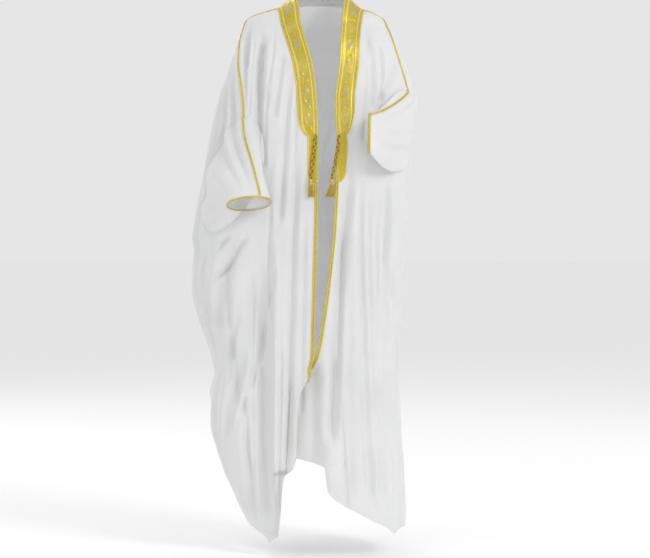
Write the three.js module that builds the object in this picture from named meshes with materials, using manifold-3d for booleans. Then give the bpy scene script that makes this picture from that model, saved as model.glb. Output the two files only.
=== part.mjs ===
// A bisht: a long open-fronted cloak, hollow as it is worn, with gold bands, piping, lacing and tassels.
// Millimetres. X runs from the wearer's right (-) to the left (+), Y from front (-) to back (+), Z up.
// The origin is the base of the neck, between the shoulders.
import * as THREE from "three";
import { mergeVertices } from "three/addons/utils/BufferGeometryUtils.js";
import Module from "manifold-3d";

const wasm = await Module();
wasm.setup();

// ---------------------------------------------------------------- driving dimensions
const CLOTH = 2; // wall of the cloth
const TRIM = 1.6; // thickness of bands and piping
const GAP = 0.3; // between pieces that touch
const PIPING = 10; // width of the gold piping
const STRIP = 28; // width of the narrow part of the front band
const BAND = 54; // width of the front band
const BAND_MIDDLE = 41; // one more column of points inside the band
const BAND_END = -368; // height where the wide band ends
const STRIP_END = -500; // height where the narrow strip ends
const OVERLAP_TOP = -1012; // height where the right front starts to cross the left one
const ROLL = 20; // how much of the right front's edge turns in below that
const TUCK = 34; // how far the left front lies behind the right one
const SQUARENESS = 2.4; // exponent of the rounded cross-section
const MIDDLE = 10; // Y of the widest points of the cross-section
const NECK_DROP = 210; // height over which the cloth rounds over the shoulder, by the neck
const END_DROP = 70; // the same at the shoulder's end
const SEAM_Y = 5; // Y of the shoulder seam
const NECK = { x: 71.5, back: 57, rise: 8, z: 22, centre: 2.5 }; // neckline behind the neck
const NECK_BAND_ROWS = 3;
const BAND_COLUMNS = 4; // cells across the front band
const STRIP_COLUMNS = 2; // and across its narrow part
const HEM_BACK = -1268; // hem at the middle of the back
// Hem at the side seams, at the front edges, and how far its tip hangs lower between them.
const TIP = { right: { side: -1474, edge: -1465, point: 31 }, left: { side: -1457, edge: -1470, point: 0 } };
const TIP_SHARE = 0.6; // most of the front's width that its edge and side columns take, near the tips
const CALM = 26; // folds die out over this distance from a side seam
const ARC_STEPS = 40;
const FRONT_FOLD_COLUMNS = 13;
const SIDE_COLUMNS = 8;
const SEAM_COLUMNS = 3;
const NECK_COLUMNS = 8;
const NECK_SHARE = [0.37, 0.63]; // part of the back's width that hangs from the neckline

// Cross-sections of the hanging cloth. right, left: widest points. front, back: depth at the middle.
// edgeR, edgeL: front edges, and the front hem below them.
// sideR, sideL: line of the shoulder piping and side.
const SECTION_KEYS = ["z", "right", "left", "front", "back", "edgeR", "sideR", "sideL", "edgeL"];
const SECTIONS = [
  [-60, -216, 190, -104, 120, -49, -215.6, 189.6, 57],
  [-125, -234, 224, -126, 140, -33, -226, 209, 55],
  [-170, -250, 241, -133, 147, -22, -228, 223, 54],
  [-234, -272, 262, -139, 153, -12, -221, 242, 46],
  [-270, -284, 275, -142, 156, -9, -217, 250, 42],
  [-325, -300, 268, -146, 159, -6, -213, 246, 42],
  [-400, -315, 255, -149, 162, -5, -226, 238, 48],
  [-500, -334, 249, -152, 165, -5, -246, 236, 42],
  [-610, -352, 244, -155, 168, -6, -284, 232, 37],
  [-650, -355, 242, -156, 170, -7, -293, 230, 34],
  [-690, -344, 240, -157, 171, -8, -296, 228, 30],
  [-810, -349, 232, -160, 175, -11, -305, 220, 16],
  [-880, -331, 229, -162, 178, -13, -298, 216, 6],
  [-976, -300, 220, -164, 181, -16, -275, 208, -12],
  [-1034, -289, 220, -166, 183, -32, -266, 207, -46],
  [-1086, -302, 223, -167, 185, -57, -272, 208, -84],
  [-1170, -308, 227, -169, 188, -64, -276, 211, -100],
  [-1246, -288, 232, -170, 191, -66, -261, 214, -92],
  [-1284, -275, 236, -171, 192, -76, -250, 216, 14],
  [-1306, -268, 237, -171, 193, -101, -243, 217, 16],
  [-1345, -252, 238, -171, 194, -107, -230, 218, 22],
  [-1425, -214, 241, -168, 196, -114, -197, 222, 137],
  [-1455, -196, 240, -166, 196, -117, -182, 224, 190],
  [-1482, -166, 236, -164, 197, -121, -158, 231, 212],
  [-1502, -156, 230, -163, 197, -134, -150, 228, 214],
].map((row) => Object.fromEntries(row.map((value, k) => [SECTION_KEYS[k], value])));

// The shoulder seam seen from the front, from the neck out: distance from the middle and height.
const SHOULDERS = {
  right: [
    { x: 69, z: 22 },
    { x: 115, z: -14 },
    { x: 148, z: -25 },
    { x: 192, z: -41 },
    { x: 211, z: -56 },
  ],
  left: [
    { x: 74, z: 22 },
    { x: 113, z: -16 },
    { x: 143, z: -27 },
    { x: 165, z: -40 },
    { x: 180, z: -51 },
  ],
};

// Heights of the rows of points, read at the front edge, and the steps of the rounding above them.
const SHOULDER_STEPS = [0, 4, 16, 31, 46, 61, 75, 90];
const ROW_TOP = -188;
const ROW_END = -1485;
const ROWS = [
  -240, -285, -330, -352, BAND_END, -415, -458, STRIP_END, -550, -600, -650, -700, -755, -810, -865,
  -920, -970, -1012, -1050, -1090, -1140, -1195, -1246, -1284, -1306, -1350, -1400, -1445, ROW_END,
];

// Folds of the fronts: x at the heights z1, z2 and z3, half width, and depth (a ridge is negative).
const FRONT_FOLDS = [
  { x1: -160, z1: -70, x2: -171, z2: -220, x3: -170, z3: -420, width: 13, depth: 30 },
  { x1: -199, z1: -60, x2: -204, z2: -120, x3: -207, z3: -190, width: 8, depth: 9 },
  { x1: -102, z1: -140, x2: -112, z2: -220, x3: -126, z3: -330, width: 9, depth: 10 },
  { x1: -80, z1: -190, x2: -95, z2: -360, x3: -112, z3: -620, width: 10, depth: 12 },
  { x1: -58, z1: -370, x2: -72, z2: -640, x3: -92, z3: -1300, width: 10, depth: 15 },
  { x1: -152, z1: -640, x2: -162, z2: -900, x3: -150, z3: -1460, width: 24, depth: 36 },
  { x1: -118, z1: -620, x2: -120, z2: -900, x3: -124, z3: -1400, width: 8, depth: -10 },
  { x1: -222, z1: -630, x2: -276, z2: -790, x3: -304, z3: -990, width: 20, depth: 14 },
  { x1: -176, z1: -690, x2: -208, z2: -960, x3: -276, z3: -1230, width: 17, depth: 15 },
  { x1: 91, z1: -400, x2: 58, z2: -742, x3: 30, z3: -1226, width: 16, depth: 26 },
  { x1: 110, z1: -410, x2: 115, z2: -740, x3: 150, z3: -1420, width: 11, depth: 15 },
  { x1: 118, z1: -60, x2: 142, z2: -150, x3: 146, z3: -310, width: 9, depth: 9 },
  { x1: 217, z1: -160, x2: 192, z2: -220, x3: 162, z3: -285, width: 9, depth: 9 },
  { x1: 196, z1: -500, x2: 184, z2: -740, x3: 180, z3: -1420, width: 13, depth: 14 },
  { x1: 84, z1: -700, x2: 80, z2: -1000, x3: 84, z3: -1380, width: 14, depth: 9 },
];

// Folds of the back: share of the back's width at the heights z1 and z2, half width and depth.
const BACK_FOLDS = [
  { at1: 0.03, z1: -700, at2: 0.06, z2: -1380, width: 15, depth: 20 },
  { at1: 0.1, z1: -610, at2: 0.13, z2: -1120, width: 16, depth: -10 },
  { at1: 0.16, z1: -160, at2: 0.19, z2: -1430, width: 17, depth: 18 },
  { at1: 0.27, z1: -260, at2: 0.26, z2: -1400, width: 20, depth: 24 },
  { at1: 0.37, z1: -140, at2: 0.35, z2: -1330, width: 18, depth: 17 },
  { at1: 0.45, z1: -380, at2: 0.44, z2: -1290, width: 22, depth: 26 },
  { at1: 0.53, z1: -170, at2: 0.55, z2: -1290, width: 17, depth: 15 },
  { at1: 0.63, z1: -300, at2: 0.65, z2: -1340, width: 20, depth: 24 },
  { at1: 0.74, z1: -150, at2: 0.75, z2: -1400, width: 18, depth: 19 },
  { at1: 0.86, z1: -420, at2: 0.85, z2: -1430, width: 17, depth: 16 },
];

// Armholes: middle height, half height, half width along the cloth, and the middle's way to the front.
const ARMHOLES = {
  right: { z: -482, high: 157, wide: 86, forward: 2 },
  left: { z: -354, high: 108, wide: 74, forward: 24 },
};

// Sleeves: the cuff's middle, its two half axes and the way it faces; turn matches it to the root.
const SLEEVES = {
  right: {
    cuff: [-191, -200, -562],
    wide: [59, 0, 4],
    deep: [0, -30, 16],
    axis: [0.15, -0.45, -0.88],
    down: [0.1, -0.45, -0.88],
    turn: -32,
    reach: 190,
    sag: 0,
    ripples: { count: 5, height: 4, phase: 0.6 },
  },
  left: {
    cuff: [132, -204, -371],
    wide: [0, 30, 0],
    deep: [0, 0, 52],
    axis: [-0.99, -0.12, 0],
    down: [-0.35, -0.85, -0.3],
    turn: 0,
    reach: 120,
    sag: 24,
    ripples: { count: 4, height: 4, phase: 2.2 },
  },
};
const SLEEVE_STEPS = [0, 0.1, 0.22, 0.34, 0.46, 0.58, 0.7, 0.82, 0.92, 1];
const SLEEVE_GAP = 0.45; // between the armhole's edge and the sleeve

const LACING = { knot: 9, thick: 4.2, thin: 2.6, top: -375, end: -492 };
const LACING_OUT = { right: 6.9, left: 6 }; // from the cloth to the lacing's middle
const LACING_INSET = { right: [6, 20], left: [4, -10] }; // from the front edge, at the lacing's top and end
const TASSEL = { head: 7.5, headHeight: 17, length: 36, strands: 16, strand: 1.6, spread: 1.25 };

const WHITE = new THREE.MeshStandardMaterial({ color: 0xf4f4f1, roughness: 0.8, metalness: 0 });
const GOLD = new THREE.MeshStandardMaterial({ color: 0xc9ab2e, roughness: 0.45, metalness: 0.5 });
const GOLD_BROWN = new THREE.MeshStandardMaterial({ color: 0x9a7a22, roughness: 0.5, metalness: 0.4 });

// ---------------------------------------------------------------- small functions
const lerp = (a, b, t) => a + (b - a) * t;
const clamp = (t) => Math.min(1, Math.max(0, t));
const smooth = (t) => clamp(t) ** 2 * (3 - 2 * clamp(t));
const radians = (degrees) => (degrees * Math.PI) / 180;
const vector = (list) => new THREE.Vector3(...list);

// A smooth curve through a table's rows that never swings past them, in falling or rising order.
function curve(rows, along, key) {
  const sorted = [...rows].sort((a, b) => a[along] - b[along]);
  const x = sorted.map((row) => row[along]);
  const y = sorted.map((row) => row[key]);
  const slope = x.slice(1).map((value, i) => (y[i + 1] - y[i]) / (value - x[i]));
  const tangent = x.map((_, i) => {
    if (i === 0 || i === x.length - 1) return slope[Math.min(i, slope.length - 1)];
    const [before, after] = [slope[i - 1], slope[i]];
    return before * after <= 0 ? 0 : (2 * before * after) / (before + after);
  });
  return (at) => {
    if (at <= x[0]) return y[0];
    if (at >= x[x.length - 1]) return y[y.length - 1];
    const i = x.findIndex((value) => value > at) - 1;
    const step = x[i + 1] - x[i];
    const t = (at - x[i]) / step;
    const rise = (3 - 2 * t) * t * t;
    const curl = t * (1 - t);
    return lerp(y[i], y[i + 1], rise) + step * curl * ((1 - t) * tangent[i] - t * tangent[i + 1]);
  };
}

const SECTION = Object.fromEntries(
  Object.keys(SECTIONS[0]).filter((key) => key !== "z").map((key) => [key, curve(SECTIONS, "z", key)]),
);
const SEAM_HEIGHT = { right: curve(SHOULDERS.right, "x", "z"), left: curve(SHOULDERS.left, "x", "z") };

// ---------------------------------------------------------------- the hanging cloth's cross-section
// A turn of 0 is the middle of the front, a quarter the widest point on the right, a half the back.
const power = (value) => Math.sign(value) * Math.abs(value) ** (2 / SQUARENESS);

function ringAt(z) {
  const [right, left] = [SECTION.right(z), SECTION.left(z)];
  const [front, back] = [SECTION.front(z), SECTION.back(z)];
  return { middle: (right + left) / 2, half: (left - right) / 2, front, back };
}

function ringPoint(ring, turn) {
  const forward = power(Math.cos(turn));
  const depth = forward > 0 ? ring.front - MIDDLE : MIDDLE - ring.back;
  return [ring.middle - ring.half * power(Math.sin(turn)), MIDDLE + depth * forward];
}

function turnOf(ring, x) {
  const share = (ring.middle - x) / ring.half;
  return Math.asin(Math.max(-1, Math.min(1, Math.sign(share) * Math.abs(share) ** (SQUARENESS / 2))));
}

const ARC_ENDS = {
  front_right: (ring, z) => [turnOf(ring, SECTION.edgeR(z)), turnOf(ring, SECTION.sideR(z))],
  back: (ring, z) => [turnOf(ring, SECTION.sideR(z)), 2 * Math.PI + turnOf(ring, SECTION.sideL(z))],
  front_left: (ring, z) => [turnOf(ring, SECTION.edgeL(z)), turnOf(ring, SECTION.sideL(z))],
};

const arcs = new Map();
function arcAt(panel, z) {
  const key = panel + z.toFixed(4);
  if (!arcs.has(key)) {
    const ring = ringAt(z);
    const [from, to] = ARC_ENDS[panel](ring, z);
    const points = [];
    for (let k = 0; k <= ARC_STEPS; k++) points.push(ringPoint(ring, lerp(from, to, k / ARC_STEPS)));
    const lengths = [0];
    for (let k = 1; k <= ARC_STEPS; k++) {
      const [dx, dy] = [points[k][0] - points[k - 1][0], points[k][1] - points[k - 1][1]];
      lengths.push(lengths[k - 1] + Math.hypot(dx, dy));
    }
    arcs.set(key, { points, lengths, total: lengths[ARC_STEPS] });
  }
  return arcs.get(key);
}

// The point at a distance along an arc, with the outward direction there.
function alongArc(arc, distance, sign) {
  let k = arc.lengths.findIndex((length) => length > distance) - 1;
  if (k < 0) k = distance <= 0 ? 0 : ARC_STEPS - 1;
  const t = (distance - arc.lengths[k]) / (arc.lengths[k + 1] - arc.lengths[k]);
  const [a, b] = [arc.points[k], arc.points[k + 1]];
  const [dx, dy] = [b[0] - a[0], b[1] - a[1]];
  const long = Math.hypot(dx, dy);
  return { x: lerp(a[0], b[0], t), y: lerp(a[1], b[1], t), out: [(-sign * dy) / long, (sign * dx) / long] };
}

// ---------------------------------------------------------------- folds
const fade = (t) => smooth(t / 0.22) * smooth((1 - t) / 0.1 + 0.15);

function frontFold(x, z) {
  let depth = 0;
  for (const fold of FRONT_FOLDS) {
    const t = (z - fold.z1) / (fold.z3 - fold.z1);
    if (t <= 0 || t >= 1) continue;
    const bend = (fold.z2 - fold.z1) / (fold.z3 - fold.z1);
    const [upper, lower] = [clamp(t / bend), clamp((t - bend) / (1 - bend))];
    const centre = lerp(lerp(fold.x1, fold.x2, upper), fold.x3, lower);
    depth += fold.depth * fade(t) * Math.exp(-(((x - centre) / fold.width) ** 2));
  }
  return depth;
}

function backFold(distance, total, z) {
  let depth = 0;
  for (const fold of BACK_FOLDS) {
    const t = (z - fold.z1) / (fold.z2 - fold.z1);
    if (t <= 0 || t >= 1) continue;
    const centre = lerp(fold.at1, fold.at2, t) * total;
    depth += fold.depth * fade(t) * Math.exp(-(((distance - centre) / fold.width) ** 2));
  }
  return depth;
}

// ---------------------------------------------------------------- columns of points round the body
// Each column has a top on the shoulder seam or neckline and a place on every cross-section below.
function seamPoint(side, x, y) {
  const sign = side === "right" ? -1 : 1;
  return [sign * x, y, SEAM_HEIGHT[side](x)];
}

function frontColumns(side) {
  const panel = "front_" + side;
  const neck = SHOULDERS[side][0].x;
  const end = SHOULDERS[side][4].x;
  const spots = [0, PIPING, STRIP, BAND_MIDDLE, BAND].map((offset) => ({ offset, share: 0 }));
  for (let k = 1; k <= FRONT_FOLD_COLUMNS; k++) spots.push({ offset: BAND, share: k / FRONT_FOLD_COLUMNS });
  spots.push({ offset: BAND + PIPING, share: 1, atSide: true });
  return spots.map(({ offset, share, atSide }) => {
    const place = (total) => {
      const squeeze = Math.min(1, (TIP_SHARE * total) / (BAND + PIPING));
      return squeeze * offset + share * (total - squeeze * (BAND + PIPING)) - (atSide ? GAP / 2 : 0);
    };
    const drop = lerp(NECK_DROP, END_DROP, smooth(place(end - neck) / (end - neck)));
    const spread = place(end - neck) / (end - neck);
    const tip = TIP[side];
    const hem = lerp(tip.edge, tip.side, spread) - tip.point * (1 - Math.abs(2 * spread - 1));
    return { panel, place, drop, hem, top: seamPoint(side, neck + place(end - neck), SEAM_Y - GAP / 2) };
  });
}

function backColumns() {
  const columns = [];
  const add = (share, top, drop, nudge = 0) => {
    const side = (share < 0.5 ? TIP.right : TIP.left).side;
    const rise = ((1 - Math.cos(2 * Math.PI * share)) / 2) ** 1.2;
    const place = (total) => share * total + nudge;
    columns.push({ panel: "back", place, drop, hem: lerp(side, HEM_BACK, rise), top });
  };
  const shoulder = (side, t, share, nudge) => {
    const neck = SHOULDERS[side][0].x;
    const end = SHOULDERS[side][4].x;
    const x = t < 0.75 ? lerp(end, neck + BAND, t / 0.75) : lerp(neck + BAND, neck, (t - 0.75) / 0.25);
    add(share, seamPoint(side, x, SEAM_Y + GAP / 2), lerp(END_DROP, NECK_DROP, smooth(t)), nudge);
  };
  const steps = [];
  for (let k = 0; k < SIDE_COLUMNS; k++) steps.push((0.75 * k) / SIDE_COLUMNS);
  for (let k = 0; k <= SEAM_COLUMNS; k++) steps.push(0.75 + (0.25 * k) / SEAM_COLUMNS);
  for (const t of steps) shoulder("right", t, NECK_SHARE[0] * t, t === 0 ? GAP / 2 : 0);
  for (let k = 1; k < NECK_COLUMNS; k++) {
    const t = k / NECK_COLUMNS;
    const x = NECK.centre - NECK.x * Math.cos(Math.PI * t);
    const lift = Math.sin(Math.PI * t);
    const top = [x, SEAM_Y + GAP / 2 + NECK.back * lift, NECK.z + NECK.rise * lift];
    add(lerp(...NECK_SHARE, t), top, NECK_DROP);
  }
  for (const t of [...steps].reverse()) {
    shoulder("left", t, 1 - (1 - NECK_SHARE[1]) * t, t === 0 ? -GAP / 2 : 0);
  }
  return columns;
}

// The right front's edge turns in below the crossing, and the left front steps back behind it.
const rollAt = (z) => ROLL * smooth((OVERLAP_TOP + 7 - z) / 70);
const tuckAt = (x, z) => TUCK * smooth((OVERLAP_TOP + 60 - z) / 90) * smooth((34 - x) / 60);

function hangingPoint(column, z, distance) {
  const arc = arcAt(column.panel, z);
  const along = distance ?? column.place(arc.total);
  const roll = column.panel === "front_right" ? rollAt(z) : 0;
  const unrolled = (Math.max(0, along - roll) * arc.total) / (arc.total - roll);
  const spot = alongArc(arc, unrolled, column.panel === "front_left" ? -1 : 1);
  let inward = Math.max(0, roll - along);
  const calm = smooth((arc.total - along) / CALM) * (column.panel === "back" ? smooth(along / CALM) : 1);
  inward += calm * (column.panel === "back" ? backFold(along, arc.total, z) : frontFold(spot.x, z));
  if (column.panel === "front_left") inward += tuckAt(spot.x, z);
  return [spot.x - spot.out[0] * inward, spot.y - spot.out[1] * inward];
}

function clothPoint(column, row) {
  const [topX, topY, topZ] = column.top;
  if (row < SHOULDER_STEPS.length - 1) {
    const angle = radians(SHOULDER_STEPS[row]);
    const z = topZ - column.drop * (1 - Math.cos(angle));
    const [x, y] = hangingPoint(column, z);
    return vector([lerp(topX, x, Math.sin(angle)), lerp(topY, y, Math.sin(angle)), z]);
  }
  const height = row < SHOULDER_STEPS.length ? ROW_TOP : ROWS[row - SHOULDER_STEPS.length];
  const z = lerp(topZ - column.drop, column.hem, (height - ROW_TOP) / (ROW_END - ROW_TOP));
  return vector([...hangingPoint(column, z), z]);
}

// ---------------------------------------------------------------- the grid of points
const columns = [...frontColumns("right"), ...backColumns(), ...frontColumns("left").reverse()];
const FRONT_COUNT = 5 + FRONT_FOLD_COLUMNS + 1;
const BACK_COUNT = 2 * (SIDE_COLUMNS + SEAM_COLUMNS) + NECK_COLUMNS + 1;
const ROW_COUNT = SHOULDER_STEPS.length + ROWS.length;
const SEAMS = { right: FRONT_COUNT - 1, left: FRONT_COUNT + BACK_COUNT - 1 }; // last column before each seam
const index = (i, j) => i * ROW_COUNT + j;
const rowNumbers = Array.from({ length: ROW_COUNT }, (_, j) => j);
const points = columns.flatMap((column) => rowNumbers.map((j) => clothPoint(column, j)));
const rowOf = (height) => SHOULDER_STEPS.length + ROWS.indexOf(height);

// Cells inside an armhole, by their middle, and the armhole's rim brought onto a true ellipse.
function sideOffset(side, i, z) {
  const column = columns[i];
  const total = arcAt(column.panel, z).total;
  const along = column.place(total);
  if (column.panel === "back") return side === "right" ? -along : along - total;
  return total - along;
}

function armholeCells(side) {
  const hole = ARMHOLES[side];
  const cells = new Set();
  for (let i = 0; i < columns.length - 1; i++) {
    if (Math.abs(i - SEAMS[side]) > FRONT_COUNT) continue;
    for (let j = SHOULDER_STEPS.length; j < ROW_COUNT - 1; j++) {
      const z = (points[index(i, j)].z + points[index(i + 1, j + 1)].z) / 2;
      const offset = (sideOffset(side, i, z) + sideOffset(side, i + 1, z)) / 2 - hole.forward;
      if (Math.hypot(offset / hole.wide, (z - hole.z) / hole.high) < 1) cells.add(i + "," + j);
    }
  }
  return cells;
}

// The points round an armhole, in order. Where a cell beside it would poke in, its half is cut off too.
const missing = new Map();
function rimLoop(cells) {
  const next = new Map();
  const beside = new Map();
  for (const cell of cells) {
    const [i, j] = cell.split(",").map(Number);
    const sides = [
      [i, j, i + 1, j, i, j - 1],
      [i + 1, j, i + 1, j + 1, i + 1, j],
      [i + 1, j + 1, i, j + 1, i, j + 1],
      [i, j + 1, i, j, i - 1, j],
    ];
    for (const [a, b, c, d, ni, nj] of sides) {
      if (cells.has(ni + "," + nj)) continue;
      next.set(index(a, b), index(c, d));
      beside.set(index(a, b), ni + "," + nj);
    }
  }
  const start = next.keys().next().value;
  const loop = [start];
  for (let at = next.get(start); at !== start; at = next.get(at)) loop.push(at);
  return loop.filter((vertex, k) => {
    const cell = beside.get(vertex);
    if (beside.get(loop.at(k - 1)) !== cell) return true;
    missing.set(cell, vertex);
    return false;
  });
}

function roundRim(side, loop) {
  const hole = ARMHOLES[side];
  for (const vertex of loop) {
    const i = Math.floor(vertex / ROW_COUNT);
    const z = points[vertex].z;
    const offset = sideOffset(side, i, z) - hole.forward;
    const reach = Math.hypot(offset / hole.wide, (z - hole.z) / hole.high);
    const atSeam = i === SEAMS[side] || i === SEAMS[side] + 1;
    const rise = atSeam ? Math.sign(z - hole.z) * hole.high * seamRise(hole) : (z - hole.z) / reach;
    const newZ = hole.z + rise;
    const total = arcAt(columns[i].panel, newZ).total;
    const newOffset = atSeam ? sideOffset(side, i, newZ) : hole.forward + offset / reach;
    const fromStart = columns[i].panel === "back" && side === "right" ? -newOffset : total - newOffset;
    const along = columns[i].panel === "back" && side === "left" ? total + newOffset : fromStart;
    points[vertex] = vector([...hangingPoint(columns[i], newZ, along), newZ]);
  }
}
const seamRise = (hole) => Math.sqrt(1 - (hole.forward / hole.wide) ** 2);

const armholes = { right: armholeCells("right"), left: armholeCells("left") };
const rims = { right: rimLoop(armholes.right), left: rimLoop(armholes.left) };
roundRim("right", rims.right);
roundRim("left", rims.left);
const isOpen = (i, j) => armholes.right.has(i + "," + j) || armholes.left.has(i + "," + j);

// ---------------------------------------------------------------- walls from triangles
// A cell is split across its shorter diagonal, but along the cut where a band's corner is cut off.
const bandRow = rowOf(BAND_END);
const stripRow = rowOf(STRIP_END);
const lastRow = ROW_COUNT - 1;
const lastColumn = columns.length - 1;
const bandCell = (side, k) => (side === "right" ? k : lastColumn - 1 - k);
const cuts = new Map();
for (const side of ["right", "left"]) {
  cuts.set(bandCell(side, BAND_COLUMNS - 1) + "," + (bandRow - 1), side);
  cuts.set(bandCell(side, STRIP_COLUMNS - 1) + "," + (stripRow - 1), side);
}

function cellTriangles(i, j) {
  const [a, b, c, d] = [index(i, j), index(i + 1, j), index(i + 1, j + 1), index(i, j + 1)];
  const gone = missing.get(i + "," + j);
  if (gone !== undefined) return [[a, b, c, d].filter((vertex) => vertex !== gone)];
  const cut = cuts.get(i + "," + j);
  const acrossShort = points[a].distanceTo(points[c]) < points[b].distanceTo(points[d]);
  const across = cut ? cut === "left" : acrossShort;
  return across ? [[a, b, c], [a, c, d]] : [[a, b, d], [b, c, d]];
}

function normalsOf(spots, triangles) {
  const normals = spots.map(() => new THREE.Vector3());
  for (const [a, b, c] of triangles) {
    const face = spots[b].clone().sub(spots[a]).cross(spots[c].clone().sub(spots[a]));
    for (const vertex of [a, b, c]) normals[vertex].add(face);
  }
  return normals;
}

// A closed wall over a patch of triangles, between two distances from the patch along its normals.
function wall(spots, normals, triangles, inner, outer) {
  const used = [...new Set(triangles.flat())];
  const place = new Map(used.map((vertex, k) => [vertex, k]));
  const corners = [];
  for (const offset of [outer, inner]) {
    for (const vertex of used) corners.push(spots[vertex].clone().addScaledVector(normals[vertex], offset));
  }
  const faces = [];
  const edges = new Set(triangles.flatMap(([a, b, c]) => [a + "," + b, b + "," + c, c + "," + a]));
  for (const triangle of triangles) {
    const [a, b, c] = triangle.map((vertex) => place.get(vertex));
    faces.push(a, b, c, a + used.length, c + used.length, b + used.length);
    for (const [p, q] of [[0, 1], [1, 2], [2, 0]]) {
      const [from, to] = [triangle[p], triangle[q]];
      if (edges.has(to + "," + from)) continue;
      const [s, t] = [place.get(from), place.get(to)];
      faces.push(t, s, s + used.length, t, s + used.length, t + used.length);
    }
  }
  const geometry = new THREE.BufferGeometry();
  const places = corners.flatMap((p) => p.toArray());
  geometry.setAttribute("position", new THREE.Float32BufferAttribute(places, 3));
  geometry.setIndex(faces);
  return geometry;
}

const bisht = new THREE.Group();
function add(name, geometry, material) {
  const mesh = new THREE.Mesh(geometry, material);
  mesh.name = name;
  bisht.add(mesh);
}

// ---------------------------------------------------------------- the body's normals
const solidCells = [];
for (let i = 0; i < columns.length - 1; i++) {
  for (let j = 0; j < ROW_COUNT - 1; j++) if (!isOpen(i, j)) solidCells.push([i, j]);
}
const normals = normalsOf(points, solidCells.flatMap(([i, j]) => cellTriangles(i, j)));
for (const seam of Object.values(SEAMS)) {
  for (let j = 0; j < ROW_COUNT; j++) {
    const both = normals[index(seam, j)].clone().add(normals[index(seam + 1, j)]);
    normals[index(seam, j)].copy(both);
    normals[index(seam + 1, j)].copy(both);
  }
}
columns.forEach((column, i) => {
  if (Math.abs(column.top[1] - SEAM_Y) < GAP) normals[index(i, 0)].y = 0;
});
for (const normal of normals) normal.normalize();

// ---------------------------------------------------------------- cloth panels
function patch(from, to, top, end, skip = () => false) {
  const triangles = [];
  for (let i = from; i < to; i++) {
    for (let j = top; j < end; j++) if (!isOpen(i, j) && !skip(i, j)) triangles.push(...cellTriangles(i, j));
  }
  return triangles;
}
const clothWall = (triangles) => wall(points, normals, triangles, -CLOTH, 0);
const trimWall = (triangles) => wall(points, normals, triangles, GAP, GAP + TRIM);

add("front_right", clothWall(patch(0, SEAMS.right, 0, lastRow)), WHITE);
add("back", clothWall(patch(SEAMS.right + 1, SEAMS.left, 0, lastRow)), WHITE);
add("front_left", clothWall(patch(SEAMS.left + 1, lastColumn, 0, lastRow)), WHITE);

// ---------------------------------------------------------------- gold trim on the panels
const hemRow = rowOf(-1246);

function bandTriangles(side) {
  const triangles = [];
  for (let k = 0; k < BAND_COLUMNS; k++) {
    const end = k < STRIP_COLUMNS ? stripRow : bandRow;
    for (let j = 0; j < end; j++) {
      const cell = cellTriangles(bandCell(side, k), j);
      const isCut = cuts.has(bandCell(side, k) + "," + j) && (k === BAND_COLUMNS - 1 || j === stripRow - 1);
      triangles.push(...(isCut ? cell.slice(0, 1) : cell));
    }
  }
  return triangles;
}
add("band_right", trimWall(bandTriangles("right")), GOLD);
add("band_left", trimWall(bandTriangles("left")), GOLD);

const neckFrom = SEAMS.right + 1 + SIDE_COLUMNS;
const neckTo = SEAMS.left - SIDE_COLUMNS;
add("neck_band", trimWall(patch(neckFrom, neckTo, 0, NECK_BAND_ROWS)), GOLD);

// The points with those at a piece's end brought a little way towards the next ones, so that pieces in line
// stay apart. The share is of one cell, a little over the gap.
function pulled(spots, isEnd, step, share) {
  return spots.map((spot, k) => (isEnd(k) ? spot.clone().lerp(spots[k + step], share) : spot));
}
const belowStrip = pulled(points, (vertex) => vertex % ROW_COUNT === stripRow, 1, 0.02);
const edgeWall = (from) =>
  wall(belowStrip, normals, patch(from, from + 1, stripRow, hemRow), GAP, GAP + TRIM);
add("edge_piping_right", edgeWall(0), GOLD);
add("edge_piping_left", edgeWall(lastColumn - 1), GOLD);

// Shoulder piping lies on the front panel, along the shoulder seam and down the side line to the armhole.
function shoulderPiping(side) {
  const right = side === "right";
  const sideCell = right ? SEAMS.right - 1 : SEAMS.left + 1;
  const [from, to] = right ? [BAND_COLUMNS, sideCell] : [sideCell + 1, lastColumn - BAND_COLUMNS];
  const rimTop = Math.max(...rims[side].filter((v) => isSeamVertex(side, v)).map((v) => points[v].z));
  const along = patch(from, to, 0, 1);
  const down = patch(sideCell, sideCell + 1, 0, lastRow, (i, j) => points[index(i, j)].z < rimTop + 1);
  const bandEdge = right ? BAND_COLUMNS : lastColumn - BAND_COLUMNS;
  const isEnd = (vertex) => Math.floor(vertex / ROW_COUNT) === bandEdge;
  const spots = pulled(points, isEnd, right ? ROW_COUNT : -ROW_COUNT, 0.04);
  return wall(spots, normals, [...along, ...down], GAP, GAP + TRIM);
}
const columnOf = (vertex) => Math.floor(vertex / ROW_COUNT);
const isSeamVertex = (side, vertex) => [SEAMS[side], SEAMS[side] + 1].includes(columnOf(vertex));
add("shoulder_piping_right", shoulderPiping("right"), GOLD);
add("shoulder_piping_left", shoulderPiping("left"), GOLD);

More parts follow.
